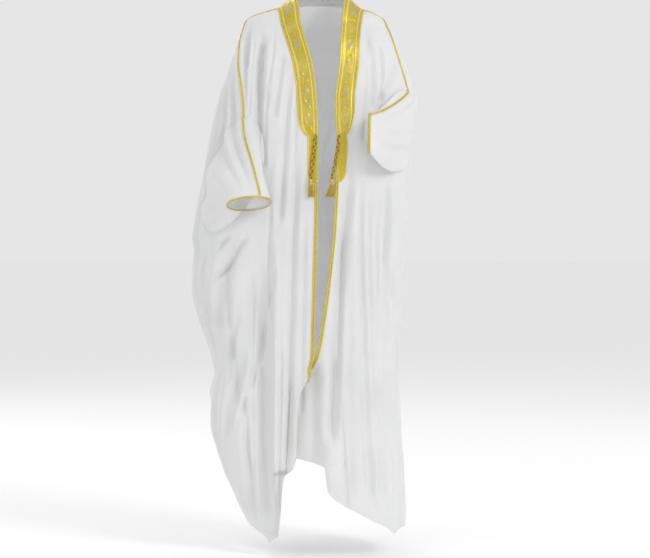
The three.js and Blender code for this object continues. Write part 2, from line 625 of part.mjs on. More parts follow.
// ---------------------------------------------------------------- sleeves
// Each sleeve runs from the armhole's rim to the cuff, point by point.
function sleeveGrid(side) {
  const { cuff, wide, deep, axis, down, turn, reach, sag, ripples } = SLEEVES[side];
  const hole = ARMHOLES[side];
  const twin = SEAMS[side] + (side === "right" ? 1 : 0); // the seam's second column, merged with the first
  const rim = rims[side].filter((vertex) => Math.floor(vertex / ROW_COUNT) !== twin);
  const centre = new THREE.Vector3();
  for (const vertex of rim) centre.addScaledVector(points[vertex], 1 / rim.length);
  const grid = [];
  for (const vertex of rim) {
    const normal = normals[vertex];
    const inward = centre.clone().sub(points[vertex]);
    inward.addScaledVector(normal, -inward.dot(normal)).normalize();
    const root = points[vertex].clone().addScaledVector(inward, SLEEVE_GAP);
    const i = Math.floor(vertex / ROW_COUNT);
    const offset = sideOffset(side, i, root.z) - hole.forward;
    const angle = Math.atan2((root.z - hole.z) / hole.high, offset / hole.wide);
    const around = angle + radians(turn);
    const end = vector(cuff).addScaledVector(vector(wide), Math.cos(around));
    end.addScaledVector(vector(deep), Math.sin(around));
    const facing = clamp(0.75 - 0.6 * Math.sin(angle));
    const start = vector(down).normalize().lerp(normal, facing).normalize();
    const slack = (1 + Math.sin(angle)) / 2; // 1 on the upper side, which hangs in a curve, 0 below
    const leave = start.multiplyScalar(reach * lerp(0.5, 1, slack));
    const arrive = vector(axis).multiplyScalar(reach * lerp(0.15, 0.8, slack));
    const outward = end.clone().sub(vector(cuff)).normalize();
    const line = SLEEVE_STEPS.map((t) => {
      const spot = hermite(root, leave, end, arrive, t);
      spot.z -= sag * Math.max(0, -Math.sin(angle)) * Math.sin(Math.PI * t) ** 2;
      const ripple = Math.sin(ripples.count * angle + ripples.phase) * Math.sin(Math.PI * t) ** 2;
      return spot.addScaledVector(outward, ripples.height * ripple);
    });
    grid.push({ line, inward, vertex });
  }
  return grid;
}

function hermite(from, leave, to, arrive, t) {
  const [h1, h2] = [(1 + 2 * t) * (1 - t) ** 2, t * (1 - t) ** 2];
  const [h3, h4] = [t * t * (3 - 2 * t), t * t * (t - 1)];
  const spot = from.clone().multiplyScalar(h1).addScaledVector(leave, h2);
  return spot.addScaledVector(to, h3).addScaledVector(arrive, h4);
}

function addSleeve(side) {
  const grid = sleeveGrid(side);
  const rows = SLEEVE_STEPS.length;
  const spots = grid.flatMap(({ line }) => line);
  const at = (k, j) => (k % grid.length) * rows + j;
  const quad = (k, j) => {
    const [a, b, c, d] = [at(k, j), at(k + 1, j), at(k + 1, j + 1), at(k, j + 1)];
    return [[a, b, c], [a, c, d]];
  };
  const flip = sleeveFacesOut(spots, quad, grid.length, rows) ? 1 : -1;
  const facing = ([a, b, c]) => (flip > 0 ? [a, b, c] : [a, c, b]);
  const cells = (from, to, top, end) => {
    const triangles = [];
    for (let k = from; k < to; k++) {
      for (let j = top; j < end; j++) triangles.push(...quad(k, j).map(facing));
    }
    return triangles;
  };
  const all = cells(0, grid.length, 0, rows - 1);
  const own = normalsOf(spots, all);
  grid.forEach(({ inward }, k) => {
    const normal = own[at(k, 0)].normalize();
    const lean = normal.dot(inward);
    if (lean > 0) normal.addScaledVector(inward, -lean);
  });
  for (const normal of own) normal.normalize();
  add("sleeve_" + side, wall(spots, own, all, -CLOTH, 0), WHITE);
  const cuffCells = cells(0, grid.length, rows - 2, rows - 1);
  add("cuff_piping_" + side, wall(spots, own, cuffCells, GAP, GAP + TRIM), GOLD);
  const isTop = (vertex) => isSeamVertex(side, vertex) && points[vertex].z > ARMHOLES[side].z;
  const seam = grid.findIndex(({ vertex }) => isTop(vertex));
  const start = side === "right" ? (seam + grid.length - 1) % grid.length : seam;
  const aboveCuff = pulled(spots, (vertex) => vertex % rows === rows - 2, -1, 0.03);
  const pipe = cells(start, start + 1, 1, rows - 2);
  add("sleeve_piping_" + side, wall(aboveCuff, own, pipe, GAP, GAP + TRIM), GOLD);
}

// True where the sleeve's triangles, taken in grid order, face away from its middle line.
function sleeveFacesOut(spots, quad, count, rows) {
  const middleRow = Math.floor(rows / 2);
  const centre = new THREE.Vector3();
  for (let k = 0; k < count; k++) centre.addScaledVector(spots[k * rows + middleRow], 1 / count);
  let sum = 0;
  for (let k = 0; k < count; k++) {
    const [a, b, c] = quad(k, middleRow)[0].map((vertex) => spots[vertex]);
    const face = b.clone().sub(a).cross(c.clone().sub(a));
    sum += face.dot(a.clone().sub(centre));
  }
  return sum > 0;
}
addSleeve("right");
addSleeve("left");

// ---------------------------------------------------------------- lacing and tassels
// A knotted cord beside the narrow strip's edge, with a tassel hanging from its end.
function edgeLine(side) {
  const i = side === "right" ? 0 : lastColumn;
  const across = side === "right" ? 1 : lastColumn - 1;
  return (z) => {
    let j = SHOULDER_STEPS.length;
    while (points[index(i, j + 1)].z > z) j++;
    const t = (z - points[index(i, j)].z) / (points[index(i, j + 1)].z - points[index(i, j)].z);
    const spot = points[index(i, j)].clone().lerp(points[index(i, j + 1)], t);
    const inward = points[index(across, j)].clone().lerp(points[index(across, j + 1)], t).sub(spot).setZ(0);
    const inset = lerp(...LACING_INSET[side], clamp((z - LACING.top) / (LACING.end - LACING.top)));
    spot.addScaledVector(inward.normalize(), inset);
    return spot.addScaledVector(normals[index(i, j)].clone().setZ(0).normalize(), LACING_OUT[side]);
  };
}

function knottedCord(line) {
  const sides = 6;
  const count = Math.round((LACING.top - LACING.end) / (LACING.knot / 2));
  const corners = [];
  for (let k = 0; k <= count; k++) {
    const centre = line(lerp(LACING.top, LACING.end, k / count));
    const radius = k % 2 ? LACING.thick : LACING.thin;
    for (let s = 0; s < sides; s++) {
      const angle = (2 * Math.PI * s) / sides;
      corners.push(centre.x + radius * Math.cos(angle), centre.y + radius * Math.sin(angle), centre.z);
    }
  }
  const faces = [];
  for (let k = 0; k < count; k++) {
    for (let s = 0; s < sides; s++) {
      const [a, b] = [k * sides + s, k * sides + ((s + 1) % sides)];
      faces.push(b, a, a + sides, b, a + sides, b + sides);
    }
  }
  const last = count * sides;
  for (let s = 1; s < sides - 1; s++) faces.push(0, s, s + 1, last, last + s + 1, last + s);
  const geometry = new THREE.BufferGeometry();
  geometry.setAttribute("position", new THREE.Float32BufferAttribute(corners, 3));
  geometry.setIndex(faces);
  return geometry;
}

function toManifold(geometry) {
  geometry.deleteAttribute("normal");
  geometry.deleteAttribute("uv");
  const merged = mergeVertices(geometry, 1e-4);
  const vertProperties = merged.attributes.position.array;
  return new wasm.Manifold(new wasm.Mesh({ numProp: 3, vertProperties, triVerts: merged.index.array }));
}

function toGeometry(manifold) {
  const mesh = manifold.getMesh();
  const geometry = new THREE.BufferGeometry();
  geometry.setAttribute("position", new THREE.BufferAttribute(Float32Array.from(mesh.vertProperties), 3));
  geometry.setIndex(Array.from(mesh.triVerts));
  return geometry;
}

// Head and strands, hanging from z = 0.
function tassel() {
  const { head, headHeight, length, strands, strand, spread } = TASSEL;
  const outline = [
    [0, -headHeight],
    [head * 0.9, -headHeight],
    [head * 0.62, -headHeight * 0.68],
    [head, -headHeight * 0.5],
    [head * 0.95, -headHeight * 0.25],
    [head * 0.55, 0],
    [0, 0],
  ].map(([r, z]) => new THREE.Vector2(r, z));
  let solid = toManifold(new THREE.LatheGeometry(outline, 10).rotateX(Math.PI / 2));
  for (let k = 0; k < strands; k++) {
    const ring = k < strands / 3 ? 0.35 : 0.72;
    const angle = k * 2.4;
    const radius = head * ring;
    const long = length * (0.93 + 0.07 * Math.cos(5 * k));
    const thread = new THREE.CylinderGeometry(strand * 0.9, strand, long, 3).rotateX(Math.PI / 2);
    thread.translate(0, 0, -long / 2);
    thread.rotateX(Math.atan(((spread - 1) * radius) / length) * 2.2 * Math.sin(angle));
    thread.rotateY(-Math.atan(((spread - 1) * radius) / length) * 2.2 * Math.cos(angle));
    thread.translate(radius * Math.cos(angle), radius * Math.sin(angle), -headHeight + 3);
    solid = solid.add(toManifold(thread));
  }
  return toGeometry(solid);
}

for (const side of ["right", "left"]) {
  const line = edgeLine(side);
  add("lacing_" + side, knottedCord(line), GOLD_BROWN);
  const end = line(LACING.end);
  const geometry = tassel();
  geometry.translate(end.x, end.y - TASSEL.head * 0.4, LACING.end - GAP);
  add("tassel_" + side, geometry, GOLD);
}

export default bisht;
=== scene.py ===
"""A white bisht with gold bands, piping, lacing and tassels, hollow and draped as it is worn.

Tables and sizes are in millimetres, and MM turns them into metres where meshes are made.
X runs from the wearer's right (-) to the left (+), Y from front (-) to back (+), Z up.
"""
import math

import bpy
import numpy as np
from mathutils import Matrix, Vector


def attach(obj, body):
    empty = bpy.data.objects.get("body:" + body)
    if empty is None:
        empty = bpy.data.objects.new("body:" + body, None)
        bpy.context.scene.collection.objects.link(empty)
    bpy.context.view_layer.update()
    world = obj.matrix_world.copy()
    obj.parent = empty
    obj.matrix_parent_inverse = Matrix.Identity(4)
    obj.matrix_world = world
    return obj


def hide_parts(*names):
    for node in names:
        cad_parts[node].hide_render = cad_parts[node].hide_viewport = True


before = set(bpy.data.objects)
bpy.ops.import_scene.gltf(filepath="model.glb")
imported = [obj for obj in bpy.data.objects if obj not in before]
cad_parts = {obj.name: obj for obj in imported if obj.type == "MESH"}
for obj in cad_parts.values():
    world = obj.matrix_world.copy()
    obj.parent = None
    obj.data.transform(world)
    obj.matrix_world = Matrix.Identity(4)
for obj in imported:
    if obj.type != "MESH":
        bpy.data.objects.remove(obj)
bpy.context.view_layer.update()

MM = 0.001
SIGN = {"right": -1, "left": 1}  # of X on each side

# ---------------------------------------------------------------- driving dimensions, as in the solids
CLOTH = 0.9  # thickness of the cloth
HEM_THICK = 2.0  # and of its turned hem
PIPING = 10  # width of the gold piping
STRIP = 28  # width of the narrow part of the front band
BAND = 54  # width of the front band
BAND_END = -368  # height where the wide band ends
STRIP_END = -500  # height where the narrow strip ends
PIPING_END = -1246  # height where the edge piping ends
ROW_TOP = -188  # height at the front edge where the cloth stops rounding over the shoulder
ROW_END = -1485  # height of the last row at the front edge
OVERLAP_TOP = -1012  # height where the right front starts to cross the left one
ROLL = 24  # how much of the right front's edge turns in below that
ROLL_RADIUS = 3
TUCK = 34  # how far the left front lies behind the right one
SQUARENESS = 2.4  # exponent of the rounded cross-section
MIDDLE = 10  # Y of the widest points of the cross-section
NECK_DROP = 210  # height over which the cloth rounds over the shoulder, by the neck
END_DROP = 70  # the same at the shoulder's end
SEAM_Y = 5  # Y of the shoulder seam
NECK = {"x": 71.5, "back": 57, "rise": 8, "z": 22, "centre": 2.5}  # neckline behind the neck
HEM_BACK = -1268  # hem at the middle of the back
# Hem at the side seams, at the front edges, and how far its tip hangs lower between them.
TIP = {
    "right": {"side": -1474, "edge": -1465, "point": 31},
    "left": {"side": -1457, "edge": -1470, "point": 0},
}
TIP_SHARE = 0.6  # most of the front's width that its edge and side columns take, near the tips
CALM = 26  # folds die out over this distance from a side seam
NECK_SHARE = (0.37, 0.63)  # part of the back's width that hangs from the neckline
BAND_SHARE = 0.75  # where the band's edge meets the back's shoulder

# Mesh density: points along each cross-section, cells across the panels, rows down them.
ARC_STEPS = 96
BAND_COLUMNS = 12
FRONT_COLUMNS = 60
SHOULDER_COLUMNS = 48
SEAM_COLUMNS = 16
NECK_COLUMNS = 44
SHOULDER_ROWS = 24
HANG_ROWS = 250
SLEEVE_ROWS = 48
# The rows lie closer where the fronts' hems run almost level: share of the height, share of the rows.
DENSE_HEIGHTS = (0, 0.816, 0.88, 1)
DENSE_ROWS = (0, 0.688, 0.88, 1)


def table(keys, rows):
    """Rows of numbers as a list of named records."""
    return [dict(zip(keys.split(), row)) for row in rows]


# Cross-sections of the hanging cloth. right, left: widest points. front, back: depth at the middle.
# edgeR, edgeL: front edges, and the front hem below them.
# sideR, sideL: line of the shoulder piping and side.
SECTIONS = table(
    "z right left front back edgeR sideR sideL edgeL",
    [
        (-60, -216, 190, -104, 120, -49, -215.6, 189.6, 57),
        (-125, -234, 224, -126, 140, -33, -226, 209, 55),
        (-170, -250, 241, -133, 147, -22, -228, 223, 54),
        (-234, -272, 262, -139, 153, -12, -221, 242, 46),
        (-270, -284, 275, -142, 156, -9, -217, 250, 42),
        (-325, -300, 268, -146, 159, -6, -213, 246, 42),
        (-400, -315, 255, -149, 162, -5, -226, 238, 48),
        (-500, -334, 249, -152, 165, -5, -246, 236, 42),
        (-610, -352, 244, -155, 168, -6, -284, 232, 37),
        (-650, -355, 242, -156, 170, -7, -293, 230, 34),
        (-690, -344, 240, -157, 171, -8, -296, 228, 30),
        (-810, -349, 232, -160, 175, -11, -305, 220, 16),
        (-880, -331, 229, -162, 178, -13, -298, 216, 6),
        (-976, -300, 220, -164, 181, -16, -275, 208, -12),
        (-1034, -289, 220, -166, 183, -32, -266, 207, -46),
        (-1086, -302, 223, -167, 185, -57, -272, 208, -84),
        (-1170, -308, 227, -169, 188, -64, -276, 211, -100),
        (-1246, -288, 232, -170, 191, -66, -261, 214, -92),
        (-1284, -275, 236, -171, 192, -76, -250, 216, 14),
        (-1306, -268, 237, -171, 193, -101, -243, 217, 16),
        (-1345, -252, 238, -171, 194, -107, -230, 218, 22),
        (-1425, -214, 241, -168, 196, -114, -197, 222, 137),
        (-1455, -196, 240, -166, 196, -117, -182, 224, 190),
        (-1482, -166, 236, -164, 197, -121, -158, 231, 212),
        (-1502, -156, 230, -163, 197, -134, -150, 228, 214),
    ],
)

# Height of the shoulder seam along X, on each side.
SHOULDERS = {
    "right": table("x z", [(69, 22), (115, -14), (148, -25), (192, -41), (211, -56)]),
    "left": table("x z", [(74, 22), (113, -16), (143, -27), (165, -40), (180, -51)]),
}

# Main folds of the fronts, as in the solids: x at the heights z1, z2 and z3, half width and depth.
FRONT_FOLDS = table(
    "x1 z1 x2 z2 x3 z3 width depth",
    [
        (-160, -70, -171, -220, -170, -420, 13, 30),
        (-199, -60, -204, -120, -207, -190, 8, 9),
        (-102, -140, -112, -220, -126, -330, 9, 10),
        (-80, -190, -95, -360, -112, -620, 10, 12),
        (-58, -370, -72, -640, -92, -1300, 10, 15),
        (-152, -640, -162, -900, -150, -1460, 24, 36),
        (-118, -620, -120, -900, -124, -1400, 8, -10),
        (91, -400, 58, -742, 30, -1226, 16, 26),
        (-222, -630, -276, -790, -304, -990, 20, 14),
        (-176, -690, -208, -960, -276, -1230, 17, 15),
        (110, -410, 115, -740, 150, -1420, 11, 15),
        (118, -60, 142, -150, 146, -310, 9, 9),
        (217, -160, 192, -220, 162, -285, 9, 9),
        (196, -500, 184, -740, 180, -1420, 13, 14),
        (84, -700, 80, -1000, 84, -1380, 14, 9),
    ],
)

# Finer creases of the fronts, in the same columns.
FRONT_CREASES = table(
    "x1 z1 x2 z2 x3 z3 width depth",
    [
        (-120, -60, -128, -130, -140, -240, 5, 4),
        (-182, -80, -190, -180, -196, -330, 5, 5),
        (-142, -230, -150, -330, -152, -470, 6, 6),
        (-60, -200, -66, -330, -70, -520, 5, 3.5),
        (-134, -520, -140, -700, -136, -980, 6, 6),
        (-40, -540, -44, -800, -52, -1150, 6, 5),
        (-186, -700, -192, -930, -186, -1390, 7, 7),
        (-262, -690, -252, -860, -232, -1120, 8, 7),
        (-104, -900, -108, -1100, -116, -1430, 6, 6),
        (-78, -1010, -84, -1130, -98, -1330, 5, 6),
        (-214, -1060, -206, -1230, -186, -1440, 8, 8),
        (134, -80, 128, -200, 122, -400, 6, 4),
        (166, -110, 172, -200, 170, -320, 6, 6),
        (96, -160, 92, -260, 88, -380, 5, 3.5),
        (70, -560, 62, -800, 48, -1180, 5, 6),
        (134, -470, 138, -760, 158, -1260, 7, 6),
        (158, -520, 160, -860, 172, -1400, 6, 6),
        (214, -640, 206, -900, 204, -1390, 7, 6),
        (110, -880, 112, -1100, 130, -1400, 6, 5),
        (44, -960, 38, -1080, 36, -1215, 5, 5),
        (-196, -640, -252, -730, -330, -800, 9, 9),
        (-240, -640, -300, -700, -338, -742, 9, 8),
        (-212, -820, -240, -930, -262, -1060, 8, 7),
        (-110, -700, -168, -960, -232, -1180, 8, 7),
        (-286, -850, -296, -930, -284, -1020, 8, 7),
        (-203, -66, -210, -190, -209, -318, 8, 10),
        (-196, -1080, -204, -1220, -196, -1440, 10, 8),
        (240, -560, 222, -760, 200, -830, 8, 7),
        (184, -480, 190, -620, 182, -740, 8, 7),
        (64, -1060, 66, -1200, 78, -1400, 5, 5),
    ],
)

# Main folds of the back, as in the solids: share of the back's width at z1 and z2, half width and depth.
BACK_FOLDS = table(
    "at1 z1 at2 z2 width depth",
    [
        (0.03, -700, 0.06, -1380, 15, 20),
        (0.10, -610, 0.13, -1120, 16, -10),
        (0.16, -160, 0.19, -1430, 17, 18),
        (0.27, -260, 0.26, -1400, 20, 24),
        (0.37, -140, 0.35, -1330, 18, 17),
        (0.45, -380, 0.44, -1290, 22, 26),
        (0.53, -170, 0.55, -1290, 17, 15),
        (0.63, -300, 0.65, -1340, 20, 24),
        (0.74, -150, 0.75, -1400, 18, 19),
        (0.86, -420, 0.85, -1430, 17, 16),
    ],
)
# Finer creases of the back, in the same columns.
BACK_CREASES = table(
    "at1 z1 at2 z2 width depth",
    [
        (0.036, -120, 0.032, -640, 10, 12),
        (0.066, -110, 0.07, -560, 8, 9),
        (0.09, -160, 0.10, -520, 7, 6),
        (0.03, -680, 0.075, -880, 9, 9),
        (0.965, -130, 0.96, -520, 9, 9),
        (0.07, -300, 0.09, -900, 8, 7),
        (0.13, -820, 0.15, -1420, 9, 8),
        (0.22, -120, 0.23, -620, 7, 5),
        (0.23, -760, 0.22, -1390, 9, 9),
        (0.32, -200, 0.31, -860, 8, 6),
        (0.31, -930, 0.30, -1330, 8, 7),
        (0.41, -100, 0.40, -480, 7, 5),
        (0.40, -640, 0.40, -1270, 9, 8),
        (0.49, -220, 0.50, -900, 8, 7),
        (0.59, -120, 0.60, -700, 8, 5),
        (0.60, -800, 0.59, -1290, 8, 8),
        (0.69, -240, 0.70, -950, 8, 6),
        (0.70, -1020, 0.69, -1360, 8, 8),
        (0.80, -180, 0.81, -1100, 9, 8),
        (0.91, -260, 0.93, -800, 8, 7),
        (0.92, -880, 0.90, -1430, 9, 9),
    ],
)

# Each armhole is an ellipse on the cloth: middle, half height, half width, middle in front of the side seam.
ARMHOLES = {
    "right": {"z": -482, "high": 157, "wide": 86, "forward": 2},
    "left": {"z": -354, "high": 108, "wide": 74, "forward": 24},
}
# cuff: middle of the cuff. wide, deep: its half axes. axis: the way the cuff faces.
# down: the way the sleeve leaves the armhole. reach: how far it keeps to those two ways before it bends.
# turn: how far it twists, in degrees. sag: how low its underside hangs.
# ripples: how many, their height and phase.
SLEEVES = {
    "right": {
        "cuff": (-191, -200, -562),
        "wide": (59, 0, 4),
        "deep": (0, -30, 16),
        "axis": (0.15, -0.45, -0.88),
        "down": (0.1, -0.45, -0.88),
        "turn": -32,
        "reach": 190,
        "sag": 0,
        "ripples": (5, 4, 0.6),
    },
    "left": {
        "cuff": (132, -204, -371),
        "wide": (0, 30, 0),
        "deep": (0, 0, 52),
        "axis": (-0.99, -0.12, 0),
        "down": (-0.35, -0.85, -0.3),
        "turn": 0,
        "reach": 120,
        "sag": 24,
        "ripples": (4, 4, 2.2),
    },
}
CREASE_DEPTH = 1.35  # times the depths in the crease tables
CHEST_CREASE = {"z": -155, "half": 6, "high": 1.5}  # ridge that packing left across the fronts
# Smaller ripples of the sleeves: how many round the tube, height and phase.
FINE_RIPPLES = {"right": ((9, 1.2, 0.3), (14, 0.7, 1.1)), "left": ((8, 1.4, 0.9), (13, 0.8, 0.2))}

# Long creases of the sleeves: angle round the armhole at the root and at the cuff, where along the
# sleeve they start and end, half width in degrees and depth.
SLEEVE_CREASES = {
    "right": table(
        "from_ to start end width depth",
        [
            (98, 60, 0.05, 0.9, 12, 4.5),
            (122, 98, 0.1, 0.95, 10, 3.5),
            (146, 132, 0.05, 0.7, 14, 2.5),
            (60, 20, 0.1, 0.85, 11, 4.5),
            (30, -10, 0.15, 0.8, 10, 4),
            (190, 178, 0.1, 0.75, 15, 3),
            (222, 214, 0.2, 0.8, 12, 5),
            (255, 260, 0.1, 0.9, 12, 5),
            (300, 310, 0.2, 0.9, 12, 5),
            (334, 338, 0.1, 0.7, 11, 4),
        ],
    ),
    "left": table(
        "from_ to start end width depth",
        [
            (96, 84, 0.05, 0.9, 11, 4.5),
            (66, 52, 0.1, 0.8, 11, 4),
            (36, 22, 0.15, 0.9, 11, 4.5),
            (124, 118, 0.1, 0.85, 11, 4),
            (152, 152, 0.1, 0.9, 12, 5),
            (184, 190, 0.1, 0.8, 12, 5),
            (214, 224, 0.05, 0.9, 12, 5.5),
            (246, 252, 0.15, 0.9, 12, 5.5),
            (280, 284, 0.1, 0.95, 12, 6),
            (314, 308, 0.1, 0.8, 12, 5),
            (344, 340, 0.15, 0.9, 11, 4),
        ],
    ),
}

# Lacing: heights of its ends, thickness of a strand, swing of the plait to the sides and in depth, and pitch.
LACING = {"top": -375, "end": -492, "strand": 1.9, "swing": 2.9, "depth": 1.5, "pitch": 19}
LACING_OUT = {"right": 6.4, "left": 5.6}  # from the cloth to the lacing's middle
LACING_INSET = {"right": (6, 20), "left": (4, -10)}  # from the front edge, at its top and its end
TASSEL_SPLAY = {"right": 0.15, "left": 0.85}
TASSEL_LEAN = {"right": 0.1, "left": -0.8}
# Tassel: radius and height of its head, length, number and radius of its threads.
TASSEL = {"head": 7.0, "height": 17, "length": 35, "strands": 150, "thread": 0.5}
TASSEL_SEED = {"right": 7, "left": 11}
HEAD_SIDES = 20
# The tassel's head: how far down, and its radius there as a share of the widest.
HEAD_PROFILE = ((0, 0.1, 0.3, 0.5, 0.66, 0.72, 0.8, 1), (0.35, 0.75, 0.98, 1.0, 0.8, 0.62, 0.7, 0.88))


# ---------------------------------------------------------------- small functions
def lerp(a, b, t):
    return a + (b - a) * t


def smooth(t):
    t = np.clip(t, 0, 1)
    return t * t * (3 - 2 * t)


def unit(vectors):
    """Vectors along the last axis at length 1."""
    return vectors / np.maximum(np.linalg.norm(vectors, axis=-1, keepdims=True), 1e-9)


def bell(value, centre, half, sharpness=2):
    """1 at the centre, fading to 0 on both sides of it."""
    return np.exp(-(((value - centre) / half) ** sharpness))


def grid_faces(rows, columns, loop_rows=False, loop_columns=False):
    """Faces of a grid of points, row by row; a looped direction joins its end to its start."""
    faces = []
    for r in range(rows if loop_rows else rows - 1):
        near, far = r * columns, (r + 1) % rows * columns
        for c in range(columns if loop_columns else columns - 1):
            turned = (c + 1) % columns
            faces.append([near + c, near + turned, far + turned, far + c])
    return faces


def turned_over(faces):
    return [face[:1] + face[:0:-1] for face in faces]


def curve(rows, along, key):
    """A smooth curve through a table's rows that never swings past them."""
    rows = sorted(rows, key=lambda row: row[along])
    x = np.array([row[along] for row in rows], float)
    y = np.array([row[key] for row in rows], float)
    slope = np.diff(y) / np.diff(x)
    before, after = slope[:-1], slope[1:]
    both = np.where(before * after > 0, before + after, 1)
    inner = np.where(before * after > 0, 2 * before * after / both, 0)
    tangent = np.concatenate([slope[:1], inner, slope[-1:]])

    def at(value):
        value = np.clip(value, x[0], x[-1])
        i = np.clip(np.searchsorted(x, value, side="right") - 1, 0, len(x) - 2)
        step = x[i + 1] - x[i]
        t = (value - x[i]) / step
        curl = t * (1 - t) * ((1 - t) * tangent[i] - t * tangent[i + 1])
        return lerp(y[i], y[i + 1], (3 - 2 * t) * t * t) + step * curl

    return at


SECTION = {key: curve(SECTIONS, "z", key) for key in SECTIONS[0] if key != "z"}
SEAM_HEIGHT = {side: curve(rows, "x", "z") for side, rows in SHOULDERS.items()}


# ---------------------------------------------------------------- the hanging cloth's cross-section
def power(value):
    """A signed power that turns a circle into the rounded cross-section."""
    return np.sign(value) * np.abs(value) ** (2 / SQUARENESS)


def ring_points(z, turn):
    right, left = SECTION["right"](z), SECTION["left"](z)
    forward = power(np.cos(turn))
    depth = np.where(forward > 0, SECTION["front"](z) - MIDDLE, MIDDLE - SECTION["back"](z))
    x = (right + left) / 2 - (left - right) / 2 * power(np.sin(turn))
    return np.stack([x, MIDDLE + depth * forward], -1)


def turn_of(z, x):
    """The turn at which the cross-section at a height has a given x, on its front half."""
    right, left = SECTION["right"](z), SECTION["left"](z)
    share = ((right + left) / 2 - x) / ((left - right) / 2)
    return np.arcsin(np.clip(np.sign(share) * np.abs(share) ** (SQUARENESS / 2), -1, 1))


def arc_ends(panel, z):
    """The turns where a panel starts and ends on the cross-section at each height."""
    side_right = turn_of(z, SECTION["sideR"](z))
    side_left = turn_of(z, SECTION["sideL"](z))
    if panel == "front_right":
        return turn_of(z, SECTION["edgeR"](z)), side_right
    if panel == "front_left":
        return turn_of(z, SECTION["edgeL"](z)), side_left
    return side_right, 2 * math.pi + side_left


def along_arc(points, lengths, distance):
    """The point at each distance along its arc, and the arc's direction there."""
    steps = np.gradient(points, axis=1)
    k = np.clip((lengths <= distance[:, None]).sum(1) - 1, 0, ARC_STEPS - 1)
    row = np.arange(len(distance))
    t = ((distance - lengths[row, k]) / (lengths[row, k + 1] - lengths[row, k]))[:, None]
    spot = lerp(points[row, k], points[row, k + 1], t)
    return spot, unit(lerp(steps[row, k], steps[row, k + 1], np.clip(t, 0, 1)))


# ---------------------------------------------------------------- folds
def fade(t):
    """A fold's depth along its length: it grows from its start and dies out towards its end."""
    return smooth(t / 0.22) * smooth((1 - t) / 0.1 + 0.15)


def fold_depth(fold, t, place, centre):
    """One fold's depth at a share t of its length and a place across it."""
    return np.where((t > 0) & (t < 1), fold["depth"] * fade(t) * bell(place, centre, fold["width"]), 0)


def front_folds(folds, x, z):
    depth = np.zeros_like(x)
    for fold in folds:
        t = (z - fold["z1"]) / (fold["z3"] - fold["z1"])
        bend = (fold["z2"] - fold["z1"]) / (fold["z3"] - fold["z1"])
        upper = lerp(fold["x1"], fold["x2"], np.clip(t / bend, 0, 1))
        centre = lerp(upper, fold["x3"], np.clip((t - bend) / (1 - bend), 0, 1))
        depth += fold_depth(fold, t, x, centre)
    return depth


def back_folds(folds, distance, total, z):
    depth = np.zeros_like(distance)
    for fold in folds:
        t = (z - fold["z1"]) / (fold["z2"] - fold["z1"])
        centre = lerp(fold["at1"], fold["at2"], t) * total
        depth += fold_depth(fold, t, distance, centre)
    return depth


def waver(distance, z, phase):
    """Shallow uneven waves that run mostly downwards, as in soft thin cloth."""
    drift = 14 * np.sin(z / 170 + phase) + 9 * np.sin(z / 83 + 2 * phase)
    wide = np.sin((distance + drift) / 13.0 + phase) * np.sin(z / 240 + 1.3 * phase)
    fine = np.sin((distance - 0.7 * drift) / 6.1 + 2.1 * phase) * np.sin(z / 120 + phase)
    cross = np.sin(z / 31 + distance / 46 + phase) * np.sin(distance / 37 - z / 205)
    return 1.5 * wide + 0.6 * fine + 0.7 * cross


def hanging(panel, z, place):
    """The cloth's points at heights z, at the place that a column takes on each cross-section."""
    start, end = arc_ends(panel, z)
    turns = start[:, None] + (end - start)[:, None] * np.linspace(0, 1, ARC_STEPS + 1)
    points = ring_points(z[:, None], turns)
    pieces = np.linalg.norm(np.diff(points, axis=1), axis=2)
    lengths = np.concatenate([np.zeros((len(z), 1)), np.cumsum(pieces, axis=1)], axis=1)
    total = lengths[:, -1]
    along = place(total)
    roll = np.zeros_like(z)
    if panel == "front_right":
        roll = np.minimum(ROLL * smooth((OVERLAP_TOP + 7 - z) / 70), 0.3 * total)
    unrolled = np.maximum(0, along - roll) * total / (total - roll)
    spot, direction = along_arc(points, lengths, unrolled)
    sign = -1 if panel == "front_left" else 1
    out = np.stack([-sign * direction[:, 1], sign * direction[:, 0]], -1)
    under = np.maximum(0, roll - along)
    bend = np.minimum(under / ROLL_RADIUS, math.pi)
    inward = ROLL_RADIUS * (1 - np.cos(bend))
    ahead = ROLL_RADIUS * np.sin(bend) - np.maximum(0, under - math.pi * ROLL_RADIUS)
    spot = spot - direction * ahead[:, None]
    calm = smooth((total - along) / CALM)
    started = smooth((SEAM_Y - z) / 120)
    if panel == "back":
        calm = calm * smooth(along / CALM)
        inward += calm * back_folds(BACK_FOLDS, along, total, z)
        inward += CREASE_DEPTH * calm * back_folds(BACK_CREASES, along, total, z)
        inward += started * calm * waver(along, z, 0.4)
    else:
        inward += calm * front_folds(FRONT_FOLDS, spot[:, 0], z)
        inward += CREASE_DEPTH * calm * front_folds(FRONT_CREASES, spot[:, 0], z)
        inward += started * calm * smooth((along - STRIP) / 40) * waver(total - along, z, 1.7 * sign)
        ridge = bell(z, CHEST_CREASE["z"], CHEST_CREASE["half"])
        inward -= CHEST_CREASE["high"] * calm * smooth((along - BAND) / 12) * ridge
    if panel == "front_left":
        inward += TUCK * smooth((OVERLAP_TOP + 60 - z) / 90) * smooth((34 - spot[:, 0]) / 60)
    flat = spot - out * inward[:, None]
    return np.column_stack([flat, z]), along, total


# ---------------------------------------------------------------- columns and rows of points
def seam_point(side, x, y):
    return (SIGN[side] * x, y, float(SEAM_HEIGHT[side](x)))


def front_place(total, offset, share):
    """Distance from the front edge; near the tips the edge and side columns draw together."""
    squeeze = np.minimum(1, TIP_SHARE * total / (BAND + PIPING))
    return squeeze * offset + share * (total - squeeze * (BAND + PIPING))


